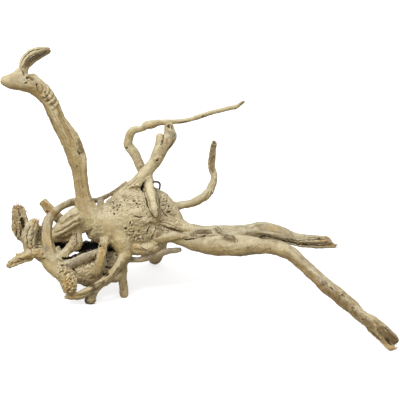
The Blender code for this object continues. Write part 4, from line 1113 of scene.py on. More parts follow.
# %% Strips drawn one by one
STRIPS = {
    "strap": (3.4, 1, 1.6, (151, 177, 148.4, 186, 150.8, 197, 152.8, 208, 157, 219.6)),
    "blade": (2, 1, 2, (155, 226, 151.8, 231.5, 149.2, 238)),
    "blade_splinter": (0, 1, 1.2, (149, 239.6, 153, 242.2, 157, 244.4, 161.5, 246)),
    "nose": (0.9, 1.5, 0.9, (143.5, 221.6, 149, 220.4, 157, 220)),
    "beak": (1.1, 1, 0.8, (133, 245.2, 141, 247.4, 152.6, 249)),
    "limb_rope": (1.2, 1.7, 0.9, (152, 241, 160, 239.8, 172, 237.6, 183, 235.6, 193, 233.6)),
    "burl_fold": (0, 1.5, 0.5, (122, 191.6, 129, 187.6, 136, 185.4, 140, 186.4)),
    "hump_rib": (0.8, 1.4, 0.6, (163, 193, 164.5, 201, 168, 209, 174, 215)),
    "hump_rib_b": (0.5, 1.3, 0.6, (159.6, 222, 168, 224.6, 178, 229, 188, 230)),
    "horn_rim": (0, 1.1, 0.5, (19.8, 66, 21.6, 58.6, 26, 52.6, 31.6, 49.4, 38, 48.4, 46, 48.4)),
    "horn_lip": (0, 0.9, 1, (20.4, 69, 23.6, 61.4, 28.4, 56, 34, 52.4, 41, 50.4, 46, 49.6)),
    "horn_point": (0, 0.9, 0, (45, 48.8, 48, 48, 50.4, 49)),
    "horn_point_b": (0, 0.8, 0, (46, 52.4, 49.4, 50.8, 51, 50.8)),
    "brow_ridge": (0, 1.3, 0.4, (25.4, 77.4, 28.4, 75.2, 32, 74.6, 36, 76.6, 39, 80)),
    "rope_a": (0, 1.3, 0.4, (34, 82, 38.6, 83.6, 41, 88, 40.6, 93)),
    "rope_b": (0, 1.3, 0.4, (38.6, 79.6, 43, 84.4, 45, 89, 43.6, 93.6)),
    "rope_c": (0, 1.4, 0.4, (41, 96.4, 45, 95, 48, 91.4, 47.6, 87)),
    "rope_d": (0, 1.4, 0.4, (44, 100.4, 48, 99, 51.4, 95.4, 51.6, 91.6)),
    "rope_e": (0, 1.3, 0.4, (47, 104.6, 51, 102.4, 54.4, 99.4, 55, 96)),
    "rope_f": (0, 1.1, 0.3, (50, 110, 54, 107.4, 57.6, 104, 58.4, 101)),
    "neck_cord_a": (0, 1.1, 0.35, (55.6, 108, 60.6, 118, 65.6, 128, 71, 138, 73, 146)),
    "neck_cord_b": (0, 1.2, 0.35, (45, 101, 51, 111, 56, 121, 61.6, 132, 66.6, 143, 70, 154)),
    "neck_cord_c": (0, 1.1, 0.4, (62, 116, 66, 124, 72, 131, 78, 138.6, 83, 146)),
    "neck_cord_d": (0, 1.3, 0.4, (74, 158, 76.6, 172, 78.6, 186, 79, 200, 80, 212)),
    "neck_cord_e": (0, 1.2, 0.4, (84, 152, 85, 162, 84, 174, 85.6, 186, 88, 198, 94, 210)),
    "rib_a": (0, 1.2, 0.6, (80, 212, 70.6, 216, 60.4, 223.4)),
    "rib_b": (0, 1.6, 0.5, (80, 217.6, 71, 221.6, 62, 227.6, 54.6, 232.4)),
    "rib_c": (0, 1.7, 0.5, (80, 222, 72, 225.6, 63, 231.4, 54, 236.4)),
    "runner_strand": (
        0, 1.6, 0.9, (121.5, 260, 116, 269.6, 106.6, 280, 96, 287, 84, 291.8, 73, 295),
    ),
    "stub_a_left": (0.3, 1.4, 0.8, (13.8, 207, 14.2, 215, 13.4, 223, 15, 230, 18.4, 237)),
    "stub_a_middle": (0, 1.1, 0.6, (18, 206, 17.4, 213, 17, 220)),
    "stub_a_right": (0, 1.3, 0.8, (23, 207, 24.6, 215, 27, 222, 26.6, 230, 25, 237)),
    "stub_b_left": (0.2, 1.4, 0.8, (31, 222.6, 27, 228, 25, 237, 26.6, 246)),
    "stub_b_middle": (0.2, 1.4, 0.9, (34, 220.4, 30.6, 227.6, 28.6, 237, 30, 248)),
    "stub_b_right": (0, 1.3, 0.8, (37, 221, 35, 228, 32.6, 237, 33.4, 248)),
    "stub_c_top": (0, 1.2, 0.7, (8, 265.4, 14, 261.4, 22, 257.6, 31, 254.6)),
    "stub_c_low": (0, 1.1, 0.8, (9, 267, 16, 264, 24, 261, 33, 259)),
    "stub_c_flake": (0, 1, 0.4, (16, 254.4, 19.4, 255.2, 24.6, 252)),
    "bark_wedge": (1.3, 1, 0.6, (189.6, 234.4, 197, 231.8, 205, 230.4, 212, 232.6)),
    "bark_tongue": (1.7, 1.2, 0.5, (224, 236.4, 230, 237.6, 236.6, 240.6)),
    "limb_bump": (1, 1.6, 0.4, (216, 228.6, 221, 231.4, 225, 235)),
    "torn_upper": (0, 1.2, 0.6, (306, 237.4, 317, 237, 327, 237.4, 331.6, 241)),
    "torn_middle": (0, 1.1, 1, (296, 240.8, 310, 242, 322, 241.4, 332.6, 243)),
    "torn_lower": (0, 1.1, 0.8, (290, 243.8, 304, 246, 318, 247, 335, 246.6)),
    "back_ridge": (0, 1.3, 0.7, (258, 232.6, 268, 233.4, 281, 236.4, 294, 240)),
    "front_prong": (0, 1, 0.6, (368, 328.4, 376, 336.6, 384, 344.4, 390, 350)),
    "front_upper": (0, 1.3, 0.7, (374, 319, 382, 325.6, 390, 332, 396.6, 339)),
    "knot_ring": (
        0, 1, 0.6, (156, 157.4, 159.4, 157, 160.6, 160, 158.4, 162.4, 155.4, 161.4, 156, 157.4),
    ),
    "branch_splinter": (0, 1, 0.3, (135, 146.4, 138, 153, 140.8, 160, 143, 166)),
    "knob_rim": (0, 1, 0.6, (87, 297, 85.6, 300.4, 88, 303.4, 92, 303.4, 94.6, 300, 93, 297)),
    "arch_edge": (0, 1.2, 0.5, (49, 216, 48.6, 226, 49.4, 238, 51.4, 250, 56, 262)),
}
print(len(STRIPS), "strips")

# %% Lay the strips
def hung_path(tree, path, lift, step=1.0):
    """A drawn path in space: at the depth of the skin behind it, lifted towards the eye."""
    places = along_path(path, step)[0]
    depths = np.array([depth_of(tree, *place) for place in places])
    depths = np.convolve(np.pad(depths, 2, mode="edge"), np.ones(5) / 5, mode="valid")
    return np.array([spot(a, d, back - lift) for (a, d), back in zip(places, depths)])


def smoothed_path(path, rounds=2):
    """A drawn path with its corners cut off."""
    path = np.reshape(path, (-1, 2)).astype(float)
    for _ in range(rounds):
        near, far = path[:-1] * 0.75 + path[1:] * 0.25, path[:-1] * 0.25 + path[1:] * 0.75
        path = np.vstack((path[:1], np.stack((near, far), 1).reshape(-1, 2), path[-1:]))
    return path


def strip_lines(tree, half_width, thick, lift, path):
    """Tubes side by side along a path, narrower at both ends."""
    path = smoothed_path(path)
    heading = np.gradient(path, axis=0)
    heading /= np.linalg.norm(heading, axis=1)[:, None]
    aside = np.c_[-heading[:, 1], heading[:, 0]]
    count = 1 + 2 * int(np.ceil(half_width / thick))
    taper = np.clip(np.sin(np.pi * np.linspace(0.04, 0.96, len(path))) * 1.7, 0.12, 1)[:, None]
    lines = []
    for share in np.linspace(-1, 1, count) if count > 1 else (0.0,):
        line = hung_path(tree, (path + aside * share * half_width * taper).ravel(), lift, 0.9)
        ends = np.clip(np.sin(np.pi * np.linspace(0.05, 0.95, len(line))) * 2.2, 0.45, 1)
        lines.append(np.c_[line, thick * ends])
    return lines


tree = tree_of(root)
laid = [line for strip in STRIPS.values() for line in strip_lines(tree, *strip)]
strips = tube("strips", laid, sides=2)
select_only(root, strips)
bpy.ops.object.join()
print(len(laid), "strips laid", round(time.time() - started, 1), "s")

# %% [markdown]
# ## The second skin
# The second remesh has smaller cells than the first, fine enough for a crack half a millimetre
# deep. Its points are final: from here on they only move, and take on tints. All that the marks
# need to know about each point is worked out once.

# %% The second skin
VOXEL = 0.62
finish_with(root, "REMESH", mode="VOXEL", voxel_size=VOXEL * MM)
finish_with(root, "SMOOTH", factor=0.5, iterations=2)
root = keep_largest(root)
print("second skin", len(root.data.vertices), "points", round(time.time() - started, 1), "s")

# %% Where every mark lies on the second skin
tree = tree_of(root)
points, normals = points_of(root), normals_of(root)
chains.update({name: dots_of(mark, tree) for name, mark in MARKS.items() if mark[3] > DEEP})
best = along_limbs(points)
girth = np.clip((best["radius"] * best["weight"]).sum(0), 1.5, 12.0)
print(len(chains), "marks placed", round(time.time() - started, 1), "s")

# %% [markdown]
# ## Painting the marks
# A brush stroke with a clean edge looks printed. So the points are shaken a little before their
# distance to a stroke is taken, and its edge is frayed with noise. Where two strokes of a tint
# overlap, the stronger one counts. A dark crack also gets a halo of painted brown shade and a low
# lip.

# %% Tints and shallow pushes of the marks
# Several tints also carry painted light: pale is painted highlight as well, and bark, dark and
# black are painted shade as well.
TINTS = ("pale_and_highlight", "ochre", "rust", "grey", "bark_and_shade", "dark", "black_shade", "worm", "smooth")
EVERYWHERE = slice(None)
WIDE_STROKE = 1.6
FRAY_WIDE, FRAY_NARROW, FRAY_LIFT = 0.45, 0.3, 0.15
CORE, RIM = 0.45, 1.1
HALO_STRENGTH, HALO_START = 0.4, 0.9
LIP_HEIGHT, LIP_PLACE, LIP_WIDTH = 0.35, 1.5, 0.35
tint = {name: np.zeros(len(points)) for name in TINTS}
ragged = noise(points / 1.6, 11) + 0.6 * noise(points / 0.8, 12)
wobble = np.stack([
    0.8 * noise(points / 5.0, seed) + 0.35 * noise(points / 1.9, seed) for seed in (13, 14, 15)
], axis=1)
shaky = points + wobble
push = np.zeros(len(points))


def stain(kind, where, share):
    """Lays a tint on some points, where it is stronger than what they have."""
    tint[kind][where] = np.maximum(tint[kind][where], share)


for name, chain in chains.items():
    kind, strength, reach, depth, _ = MARKS[name]
    near, ratio = reach_of(shaky, chain)
    frayed = ratio + ragged[near] * (FRAY_WIDE if reach > WIDE_STROKE else FRAY_NARROW)
    stain(kind, near, strength * (1 - smooth_step(frayed, CORE, RIM)))
    if kind in ("dark", "black_shade") and depth < 0:
        # The halo is painted brown shade round the crack.
        halo = HALO_STRENGTH * strength * (1 - smooth_step(frayed, HALO_START, HALO))
        stain("bark_and_shade", near, halo)
        push[near] += LIP_HEIGHT * np.exp(-((ratio - LIP_PLACE) / LIP_WIDTH) ** 2)
    if DEEP < depth != 0:
        push[near] += depth * np.clip(1 - ratio + FRAY_LIFT * ragged[near], 0, 1) ** 0.8
print("tints", {name: int((tint[name] > 0.3).sum()) for name in TINTS})

# %% [markdown]
# ## Each limb has its own tone
# On the real root no two limbs weathered alike: the arch is grey and the runner root is ochre.
# The lumps in the cave behind the tangle are painted nearly black and brown, and the keel under
# the burl brown, as painted shade. Marks alone would leave the wood between them all of one
# colour. So each limb is given a faint tint of its own, in soft patches, which fades into that
# of the next limb at a fork.

# %% Tones of the limbs
TONES = {
    "pale_and_highlight": {"thin_branch": 0.25, "hook_branch": 0.1, "forked_branch": 0.4, "brow": 0.45,
             "crown_web": 0.5, "frayed_stub": 0.35, "strap": 0.6, "stump": 0.25, "peg_leg": 0.35,
             "stump_ledge": 0.25, "bottom_knob": 0.35, "back_leg": 0.2, "low_twig": 0.35,
             "left_prong": 0.6, "lower_burl": 0.15},
    "ochre": {"neck": 0.3, "runner_root": 0.35, "peg_leg": 0.3, "bottom_knob": 0.35,
              "crumbled_stub": 0.4, "splinter_stub": 0.35, "back_peg": 0.4, "lower_burl": 0.15,
              "back_leg": 0.35, "stump_column": 0.25, "front_limb": 0.15},
    "grey": {"arch_root": 0.2, "back_limb": 0.25, "fork_web": 0.2, "fork_web_back": 0.3,
             "diagonal_root": 0.4, "low_twig": 0.3, "hook_branch": 0.12, "arch_stay": 0.5},
    # The two cave lumps are painted black and brown as shade.
    "black_shade": {"dark_heart": 0.5, "dark_floor": 0.5},
    "bark_and_shade": {"front_limb": 0.34, "far_stub": 0.25, "dark_heart": 0.8, "dark_floor": 0.8,
             "burl_keel": 0.3, "left_web": 0.3, "inner_web": 0.3, "horn": 0.12},
}
patchy = np.clip(0.75 + 0.9 * noise(points / 11.0, 16) + 0.5 * noise(points / 3.5, 17), 0, 1.7)
for kind, tones in TONES.items():
    tone_of = np.array([tones.get(name, 0.0) for name in LINES])
    stain(kind, EVERYWHERE, (tone_of[best["limb"]] * best["weight"]).sum(0) * patchy)
print("tones", {kind: len(tones) for kind, tones in TONES.items()})

# %% [markdown]
# ## Marks on the far side
# The drawing shows only the front. The back and the undersides get marks of the same kinds,
# thrown at random along the limbs: drying cracks that follow the grain, knots and stains.
# They fade out towards the front, so that they don't cover the drawn ones.

# %% Cracks, knots and stains at random
AREA_PER_CRACK = 65
CRACK_HALF_LENGTH, CRACK_HALF_WIDTH, CRACK_DEPTH = (5, 20), (0.5, 1.0), (0.4, 1.2)
SPOT_SIZE, SPOT_ASIDE = (1.5, 6), 5
CRACK_TINT, SPOT_TINT = 0.75, 0.6
FULL_DEPTH_RADIUS = 5


def offset_on_limb(place, radius, start, turn):
    """Offsets along and round one limb from a place on it, for the points that belong to it."""
    angle = np.arctan2(place[:, 2], place[:, 1]) - turn
    angle = (angle + np.pi) % (2 * np.pi) - np.pi
    return place[:, 0] - start, angle * radius


sight = EYE - points
sight /= np.linalg.norm(sight, axis=1)[:, None]
hidden = smooth_step(-(normals * sight).sum(1), -0.25, 0.2)
thrown = np.random.RandomState(21)
for number, line in enumerate(LINES.values()):
    length = np.linalg.norm(np.diff(line[:, :3], axis=0), axis=1).sum()
    thick = line[:, 3].mean()
    own = np.flatnonzero(best["limb"][0] == number)
    place, radius = best["place"][0, own], best["radius"][0, own]
    bend = 1.5 * noise(np.c_[place[:, 0] / 9, np.full(len(own), number), np.zeros(len(own))], 31)
    for _ in range(int(length * thick / AREA_PER_CRACK) + 1):
        start = LIMB_APART * number + thrown.uniform(0.05, 0.95) * length
        turn = thrown.uniform(-np.pi, np.pi)
        ahead, around = offset_on_limb(place, radius, start, turn)
        half = thrown.uniform(*CRACK_HALF_LENGTH)
        width = thrown.uniform(*CRACK_HALF_WIDTH)
        ratio = np.hypot((around + bend) / width, np.maximum(np.abs(ahead) - half, 0) / 2)
        share = (1 - smooth_step(ratio, 0.3, 1.1)) * hidden[own]
        push[own] -= share * thrown.uniform(*CRACK_DEPTH) * min(1.0, thick / FULL_DEPTH_RADIUS)
        # The dark tint in a crack is painted shade.
        stain(("dark", "bark_and_shade")[thrown.randint(2)], own, CRACK_TINT * share)
        spot_kind = ("ochre", "bark_and_shade", "grey", "pale_and_highlight")[thrown.randint(4)]
        size = thrown.uniform(*SPOT_SIZE)
        ratio = np.hypot(around - SPOT_ASIDE, ahead / 2) / size + FRAY_NARROW * ragged[own]
        stain(spot_kind, own, SPOT_TINT * (1 - smooth_step(ratio, 0.5, 1.1)) * hidden[own])
print("far side", round(time.time() - started, 1), "s")

# %% [markdown]
# ## Lumps, furrows and worm-eaten crust
# Three sizes of relief lie under the marks: lumps that keep a limb from being a pipe, furrows
# along the grain, and a crumbly crust, strongest on the burl, where worms have gnawed it. The
# crust is folded noise: where noise passes zero its size has a sharp crease, like old bark.

# %% How rough each limb is
def neighbour_mean(thing, values, rounds):
    """Values blurred over the mesh: each round takes the mean over the joined points."""
    pairs = np.empty(len(thing.data.edges) * 2, np.int32)
    thing.data.edges.foreach_get("vertices", pairs)
    one, two = pairs.reshape(-1, 2).T
    count = np.bincount(one, minlength=len(values)) + np.bincount(two, minlength=len(values))
    for _ in range(rounds):
        total = np.bincount(one, values[two], len(values))
        total += np.bincount(two, values[one], len(values))
        values = 0.5 * values + 0.5 * total / np.maximum(count, 1)
    return values


ROUGH = {
    "stump": 0.55, "stump_column": 0.3, "stump_ledge": 0.4, "lower_burl": 0.8, "burl_keel": 0.8,
    "dark_heart": 1.0, "dark_floor": 1.0, "back_rib_left": 0.7, "back_rib_right": 0.6,
    "neck": 0.2, "brow": 0.7, "horn": 0.25, "forked_branch": 0.18, "ribbed_root": 0.35,
    "rib_underside": 0.7, "strut": 0.5, "diagonal_root": 0.5, "orange_root": 0.3,
    "left_mass": 0.4, "inner_web": 0.8, "left_web": 0.8, "far_stub": 0.7, "frayed_stub": 0.6,
    "splinter_stub": 0.7, "crumbled_stub": 0.9, "bottom_knob": 0.6, "front_limb_foot": 0.5,
}
ROUGH_ELSEWHERE = 0.18
SMOOTH_TAKES, WORM_GIVES = 0.85, 1.4
NARROW_BLUR, WIDE_BLUR = 6, 12
rough_of = np.array([ROUGH.get(name, ROUGH_ELSEWHERE) for name in LINES])
rough = (rough_of[best["limb"]] * best["weight"]).sum(0) * (1 - SMOOTH_TAKES * tint["smooth"])
rough = neighbour_mean(root, np.maximum(rough, WORM_GIVES * tint["worm"]), NARROW_BLUR)
print("roughness", rough.min().round(2), rough.max().round(2))

# %% Relief of the wood
def folded(points, seed, warp=0.0):
    """The size of noise: round swellings with sharp creases between them."""
    bend = [warp * noise(points * 0.8, seed + turn) for turn in (1, 2, 3)] if warp else 0.0
    return np.abs(noise(points + (np.stack(bend, axis=1) if warp else 0.0), seed))


SLANT = math.radians(30)
SLANT_STRETCH = 0.62
CRUST_SIZE, GRIT_SIZE, FURROW_SIZE, FIBRE_SIZE = 3.7, 1.9, 4.6, 1.8
LONG_GRAIN, GRAIN_TWIST = 8.0, 0.012
LUMP_HEIGHT, LUMP_PER_GIRTH, KNOB_HEIGHT = 0.4, 0.035, 0.55
FURROW_HEIGHT, FIBRE_HEIGHT, CRUST_HEIGHT, GRIT_HEIGHT = 0.55, 0.28, 1.9, 0.85
slanted = np.stack((
    (points[:, 0] * math.cos(SLANT) + points[:, 2] * math.sin(SLANT)) * SLANT_STRETCH,
    points[:, 1],
    -points[:, 0] * math.sin(SLANT) + points[:, 2] * math.cos(SLANT),
), axis=1)
calm = 1 - tint["smooth"]
crust = folded(slanted / CRUST_SIZE, 50, 0.7)
grit = folded(points / GRIT_SIZE, 54, 0.4)
furrow = np.abs(grain_noise(best, FURROW_SIZE, LONG_GRAIN, 1, twist=GRAIN_TWIST))
fine = np.abs(grain_noise(best, FIBRE_SIZE, LONG_GRAIN, 2, twist=GRAIN_TWIST))
lump = noise(points / 13.0, 3) + 0.6 * noise(points / 6.5, 4)
slim = np.minimum(girth / 5, 1)
knobbly = 1 - smooth_step(girth, 3.0, 6.5)
relief = LUMP_PER_GIRTH * girth * lump + LUMP_HEIGHT * slim * lump
relief += KNOB_HEIGHT * slim * knobbly * noise(points / 4.6, 6)
relief += slim * calm * (FURROW_HEIGHT * furrow + FIBRE_HEIGHT * fine)
relief += rough * slim * (CRUST_HEIGHT * crust + GRIT_HEIGHT * grit)
print("relief", relief.min().round(2), relief.max().round(2))

# %% Creases and splits, which get painted brown shade
deep_crease = rough * (1 - smooth_step(crust, 0.0, 0.13))
crease = np.maximum(deep_crease, 0.5 * rough * (1 - smooth_step(grit, 0.0, 0.1)))
somewhere = smooth_step(noise(points / 9.0, 58), 0.0, 0.4)
split = calm * (1 - smooth_step(furrow, 0.0, 0.05)) * somewhere
print("creased", int((crease > 0.5).sum()), "split", int((split > 0.5).sum()), "points")

# %% [markdown]
# ## Worm pits
# Worms bore round holes. Where a mark says "worm", they lie in a crowd, slanted like the crust
# they were gnawed from; elsewhere only a small hole turns up now and then. Scattered points
# give both, and a random number per point leaves some of them out.

# %% Worm pits
PIT_SPACING, HOLE_SPACING = 3.4, 7.5
PIT_DEPTH, HOLE_DEPTH = 1.3, 0.6
PITS_LEFT_OUT, HOLES_LEFT_OUT = 0.45, 0.75
wormy = np.flatnonzero(tint["worm"] > 0.02)
away, number = cell_distance(slanted[wormy] / PIT_SPACING + 0.25 * wobble[wormy], 46)
gnawed = np.zeros(len(points))
strength = np.minimum(1, tint["worm"][wormy] * 1.3)
gnawed[wormy] = (1 - smooth_step(away, 0.16, 0.42)) * (number > PITS_LEFT_OUT) * strength
away, number = cell_distance(points / HOLE_SPACING, 47)
holes = (1 - smooth_step(away, 0.07, 0.15)) * (number > HOLES_LEFT_OUT) * calm * (girth > 2.5)
push -= PIT_DEPTH * gnawed + HOLE_DEPTH * holes
move_points(root, points + normals * (relief + push)[:, None])
# Worm pits, holes, creases and splits are darkened here as painted shade: brown in all of them, and
# dark in the pits and holes.
brown = np.clip(0.75 * gnawed + 0.55 * np.minimum(crease, 1) + 0.5 * split, 0, 1)
stain("bark_and_shade", EVERYWHERE, brown)
stain("dark", EVERYWHERE, np.maximum(0.5 * smooth_step(gnawed, 0.5, 1.0), 0.55 * holes))
print("relief moved", round(time.time() - started, 1), "s")

# %% [markdown]
# ## What the material needs to know
# The material can't see where a crack or a crotch is, so the mesh tells it. It gets one number per
# point for each tint, and the place along the grain. It gets how deep a point lies below its
# surroundings, for painted shade in hollows and painted highlight on ridges. It gets how far a
# point faces the sky, for a paler top that is partly bleaching and partly painted highlight, and
# for painted shade below.

# %% Write the masks onto the mesh
def add_mask(name, values):
    """Stores one number per point for the material to read."""
    layer = root.data.attributes.new(name, "FLOAT", "POINT")
    layer.data.foreach_set("value", np.clip(values, 0, 1).astype(np.float32))


SUNK_RANGE = 1.4
height = relief + push
sunk = neighbour_mean(root, height, WIDE_BLUR) - height
normals = normals_of(root)
for name in ("pale_and_highlight", "ochre", "rust", "grey", "bark_and_shade", "dark", "black_shade"):
    add_mask(name, tint[name])
# Hollows get painted brown shade from this mask, and raised places get a painted highlight.
add_mask("sunk", 0.5 + sunk / SUNK_RANGE)
print("sunk", np.percentile(sunk, (1, 10, 50, 90, 99)).round(2))
# How far each point faces up. The material makes up-facing points paler, partly as bleaching and
# partly as painted highlight, and down-facing points darker as painted shade.
add_mask("top_light_and_bleach", 0.5 + 0.5 * neighbour_mean(root, normals[:, 2], WIDE_BLUR))
add_mask("pure", smooth_step(best["weight"][0], 0.5, 0.8))
grain_place = root.data.attributes.new("grain_place", "FLOAT_VECTOR", "POINT")
grain_place.data.foreach_set("vector", (best["place"][0] * MM).astype(np.float32).ravel())
print("masks", round(time.time() - started, 1), "s")

# %% [markdown]
# ## Cut into pieces that a mesh file can hold
# The skin is one body, but with this much detail it is too heavy for one mesh file. It is sawn
# into closed pieces whose cut faces lie against each other inside the wood. A boolean with a
# huge block cuts cleanly, and the skin on both sides keeps its points, so no seam shows.

# %% Saw the skin
HUGE = 2.0
ACROSS, BACK, UP = (1, 0, 0), (0, 1, 0), (0, 0, 1)


def sawn(thing, place, direction, names):
    """Two closed halves of a mesh, on either side of a plane through a place in millimetres."""
    bpy.ops.object.select_all(action="DESELECT")
    centre = np.array(place) * MM + np.array(direction) * HUGE / 2
    bpy.ops.mesh.primitive_cube_add(size=HUGE, location=centre)
    block = bpy.context.object
    halves = []
    for name, operation in zip(names, ("DIFFERENCE", "INTERSECT")):
        select_only(thing)
        bpy.ops.object.duplicate()
        half = bpy.context.object
        half.name = name
        finish_with(half, "BOOLEAN", operation=operation, object=block, solver="MANIFOLD")
        half.data.calc_loop_triangles()
        print(name, len(half.data.loop_triangles), "triangles")
        halves.append(half)
    for used in (thing, block):
        bpy.data.objects.remove(used)
    return halves


root.data.polygons.foreach_set("use_smooth", np.ones(len(root.data.polygons), bool))
left, right = sawn(root, spot(97, 0), ACROSS, ("left_half", "right_half"))
tangle, neck = sawn(left, spot(0, 190), UP, ("root_tangle", "neck_and_head"))
body, limbs = sawn(right, spot(195, 0), ACROSS, ("burl_half", "right_limbs"))
lower, branches = sawn(body, spot(0, 196), UP, ("burl_lower", "branches"))
burl, back_ribs = sawn(lower, spot(0, 240, 26), BACK, ("burl", "back_ribs"))
skins = [tangle, neck, burl, back_ribs, branches, limbs]
for skin in skins:
    skin.name = "redmoor_" + skin.name
print("sawn", round(time.time() - started, 1), "s")

# %% [markdown]
# ## Splinters, fibres and hairs
# Where a root is torn, its fibres stand out like the end of a frayed rope. Carving them from
# the skin would need far too fine a mesh. Each is a thin tapered tube instead. A few are drawn:
# radius at the start and at the end, lift towards the eye, path. The frayed ends get dozens more
# at random: how many, how long, how far they spread.

# %% Splinters drawn one by one
SPLINTERS = {
    "rootlet_loop": (1.15, 0.9, 0, (
        152, 183, 153.6, 181.8, 156.4, 181.7, 158.8, 182.3, 160.1, 184.2, 159.8, 187, 159.2, 190.4,
    )),
    "stub_a_hair": (0.5, 0.3, 0.6, (21, 209.4, 25, 210.6, 29.5, 213.5)),
    "splinter_hair": (0.45, 0.25, 0.6, (18, 256, 15, 251)),
    "limb_hair": (0.5, 0.3, 0.3, (361, 320.5, 362, 325)),
    "tip_prong": (1.3, 0.4, 0, (393, 348.6, 395.6, 348.6, 397.5, 347.2)),
    "torn_top": (1.2, 0.4, 0.3, (320, 238.6, 326, 237.4, 331, 239.6)),
    "torn_middle": (1.2, 0.4, 0.6, (321, 241, 328, 240.8, 332.4, 242.2)),
}


def tapered(path, thick, thin):
    """Path points with a radius that falls from one end to the other."""
    return np.c_[path, np.linspace(thick, thin, len(path))]


drawn = {
    name: tapered(hung_path(tree, path, lift), thick, thin)
    for name, (thick, thin, lift, path) in SPLINTERS.items()
}
loop_strand = drawn.pop("rootlet_loop")
strands = list(drawn.values())
print(len(strands), "splinters and a loop")

# %% Frayed ends, thrown at random
FRAYED = {
    "far_stub": (46, 7.0, 0.5), "frayed_stub": (40, 5.5, 0.4), "splinter_stub": (26, 5.0, 0.5),
    "crumbled_stub": (40, 3.5, 0.7), "back_limb": (22, 6.0, 0.4), "front_limb": (18, 5.0, 0.5),
    "front_limb_foot": (14, 4.0, 0.4), "back_peg": (8, 3.0, 0.5), "runner_root": (8, 4.0, 0.3),
}
ROOTED = 2.0
STRAND_RADIUS, STRAND_TIP = (0.35, 0.6), 0.15
ABOVE_FLOOR = 0.5
shaken = np.random.RandomState(5)
for name, (count, length, spread) in FRAYED.items():
    line = LINES[name][::-1] if name == "back_peg" else LINES[name]
    tangents, sides, crosses = frame_along(line)
    for _ in range(count):
        pick = len(line) - 1 - shaken.randint(0, min(6, len(line) - 1))
        turn = shaken.uniform(0, 2 * np.pi)
        off = shaken.uniform(0.35, 0.95) * line[pick, 3]
        out = sides[pick] * math.cos(turn) + crosses[pick] * math.sin(turn)
        foot = line[pick, :3] + out * off - tangents[pick] * ROOTED
        way = tangents[pick] + out * shaken.uniform(-0.1, spread) + shaken.normal(size=3) * 0.12
        bend = shaken.normal(size=3) * 0.5
        reach = length * shaken.uniform(0.5, 1.0)
        steps = np.linspace(0, 1, 5)[:, None]
        path = foot + way * steps * reach + bend * steps**2
        path[:, 2] = np.maximum(path[:, 2], ABOVE_FLOOR)
        strands.append(tapered(path, shaken.uniform(*STRAND_RADIUS), STRAND_TIP))
print(len(strands), "strands in all")

# %% The strands become meshes
fibres = tube("torn_fibres", strands, sides=1)
rootlet = tube("dark_rootlet", [loop_strand], sides=1)
for piece in (fibres, rootlet):
    select_only(piece)
    bpy.ops.object.shade_smooth()
    piece.data.calc_loop_triangles()
    print(piece.name, len(piece.data.loop_triangles), "triangles")

# %% [markdown]
# ## The finish: dry, bleached driftwood
# The wood is straw-coloured. It is paler on top, partly from bleaching and partly as painted
# highlight.
# It has ochre painted shade underneath and brown to black painted shade in its cracks, and fine
# grain along every limb. A picture of wood could be wrapped round it, but it would slide across
# the forks. The finish is mixed from noise instead: grain from the place along the limb, patches
# from the place in space, tints from the masks.

# %% Node helpers
def node_in(graph, kind, **values):
    """Adds a node and sets its inputs by name, from a number or from another node's output."""
    node = graph.nodes.new(kind)
    for key, value in values.items():
        if hasattr(node, key) and key not in node.inputs:
            setattr(node, key, value)
            continue
        socket = node.inputs[int(key[1:])] if key[0] == "_" else node.inputs[key]
        if isinstance(value, bpy.types.NodeSocket):
            graph.links.new(value, socket)
        else:
            socket.default_value = value
    return node


def mask_from(graph, name):
    """A mask that is stored on the mesh."""
    return node_in(graph, "ShaderNodeAttribute", attribute_name=name).outputs["Fac"]


def ramped(graph, value, low, high, bottom=0.0, top=1.0):
    """A number that goes from bottom to top as the value goes from low to high."""
    node = node_in(graph, "ShaderNodeMapRange", Value=value)
    limits = {"From Min": low, "From Max": high, "To Min": bottom, "To Max": top}
    for key, setting in limits.items():
        node.inputs[key].default_value = setting
    return node.outputs["Result"]


def noise_at(graph, vector, scale, detail=2.0):
    """Soft noise in space."""
    node = node_in(graph, "ShaderNodeTexNoise", Vector=vector, Scale=scale, Detail=detail)
    return node.outputs["Fac"]


def calculated(graph, operation, one, two):
    """One number worked out from two."""
    return node_in(graph, "ShaderNodeMath", operation=operation, _0=one, _1=two).outputs[0]


def tinted(graph, under, over, share, blend="MIX"):
    """One colour laid over another by a share."""
    node = node_in(graph, "ShaderNodeMix", data_type="RGBA", blend_type=blend)
    for index, value in ((0, share), (6, under), (7, over)):
        if isinstance(value, bpy.types.NodeSocket):
            graph.links.new(value, node.inputs[index])
        else:
            node.inputs[index].default_value = value
    return node.outputs[2]


# %% [markdown]
# ## Grain, shared by the skin and the fibres
# Both the skin and the torn fibres show the same grain, so it is a node group: it takes a place,
# and gives streaks for the colour and a height for the bump.

# %% The grain group
def grain_group():
    """Streaks and fine height of wood grain that runs along the first coordinate."""
    group = bpy.data.node_groups.new("wood_grain", "ShaderNodeTree")
    group.interface.new_socket("Place", in_out="INPUT", socket_type="NodeSocketVector")
    group.interface.new_socket("Streaks", in_out="OUTPUT", socket_type="NodeSocketFloat")
    group.interface.new_socket("Height", in_out="OUTPUT", socket_type="NodeSocketFloat")
    start = group.nodes.new("NodeGroupInput")
    end = group.nodes.new("NodeGroupOutput")
    wide = node_in(group, "ShaderNodeMapping", Vector=start.outputs[0], Scale=(45, 420, 420))
    thin = node_in(group, "ShaderNodeMapping", Vector=start.outputs[0], Scale=(90, 1300, 1300))
    streaks = noise_at(group, wide.outputs[0], 1.0, 3.0)
    lines = noise_at(group, thin.outputs[0], 1.0, 2.0)
    fine_part = calculated(group, "MULTIPLY", lines, 0.4)
    total = calculated(group, "ADD", fine_part, calculated(group, "MULTIPLY", streaks, 0.6))
    group.links.new(total, end.inputs["Streaks"])
    group.links.new(lines, end.inputs["Height"])
    return group


GRAIN = grain_group()
print("grain group", len(GRAIN.nodes), "nodes")
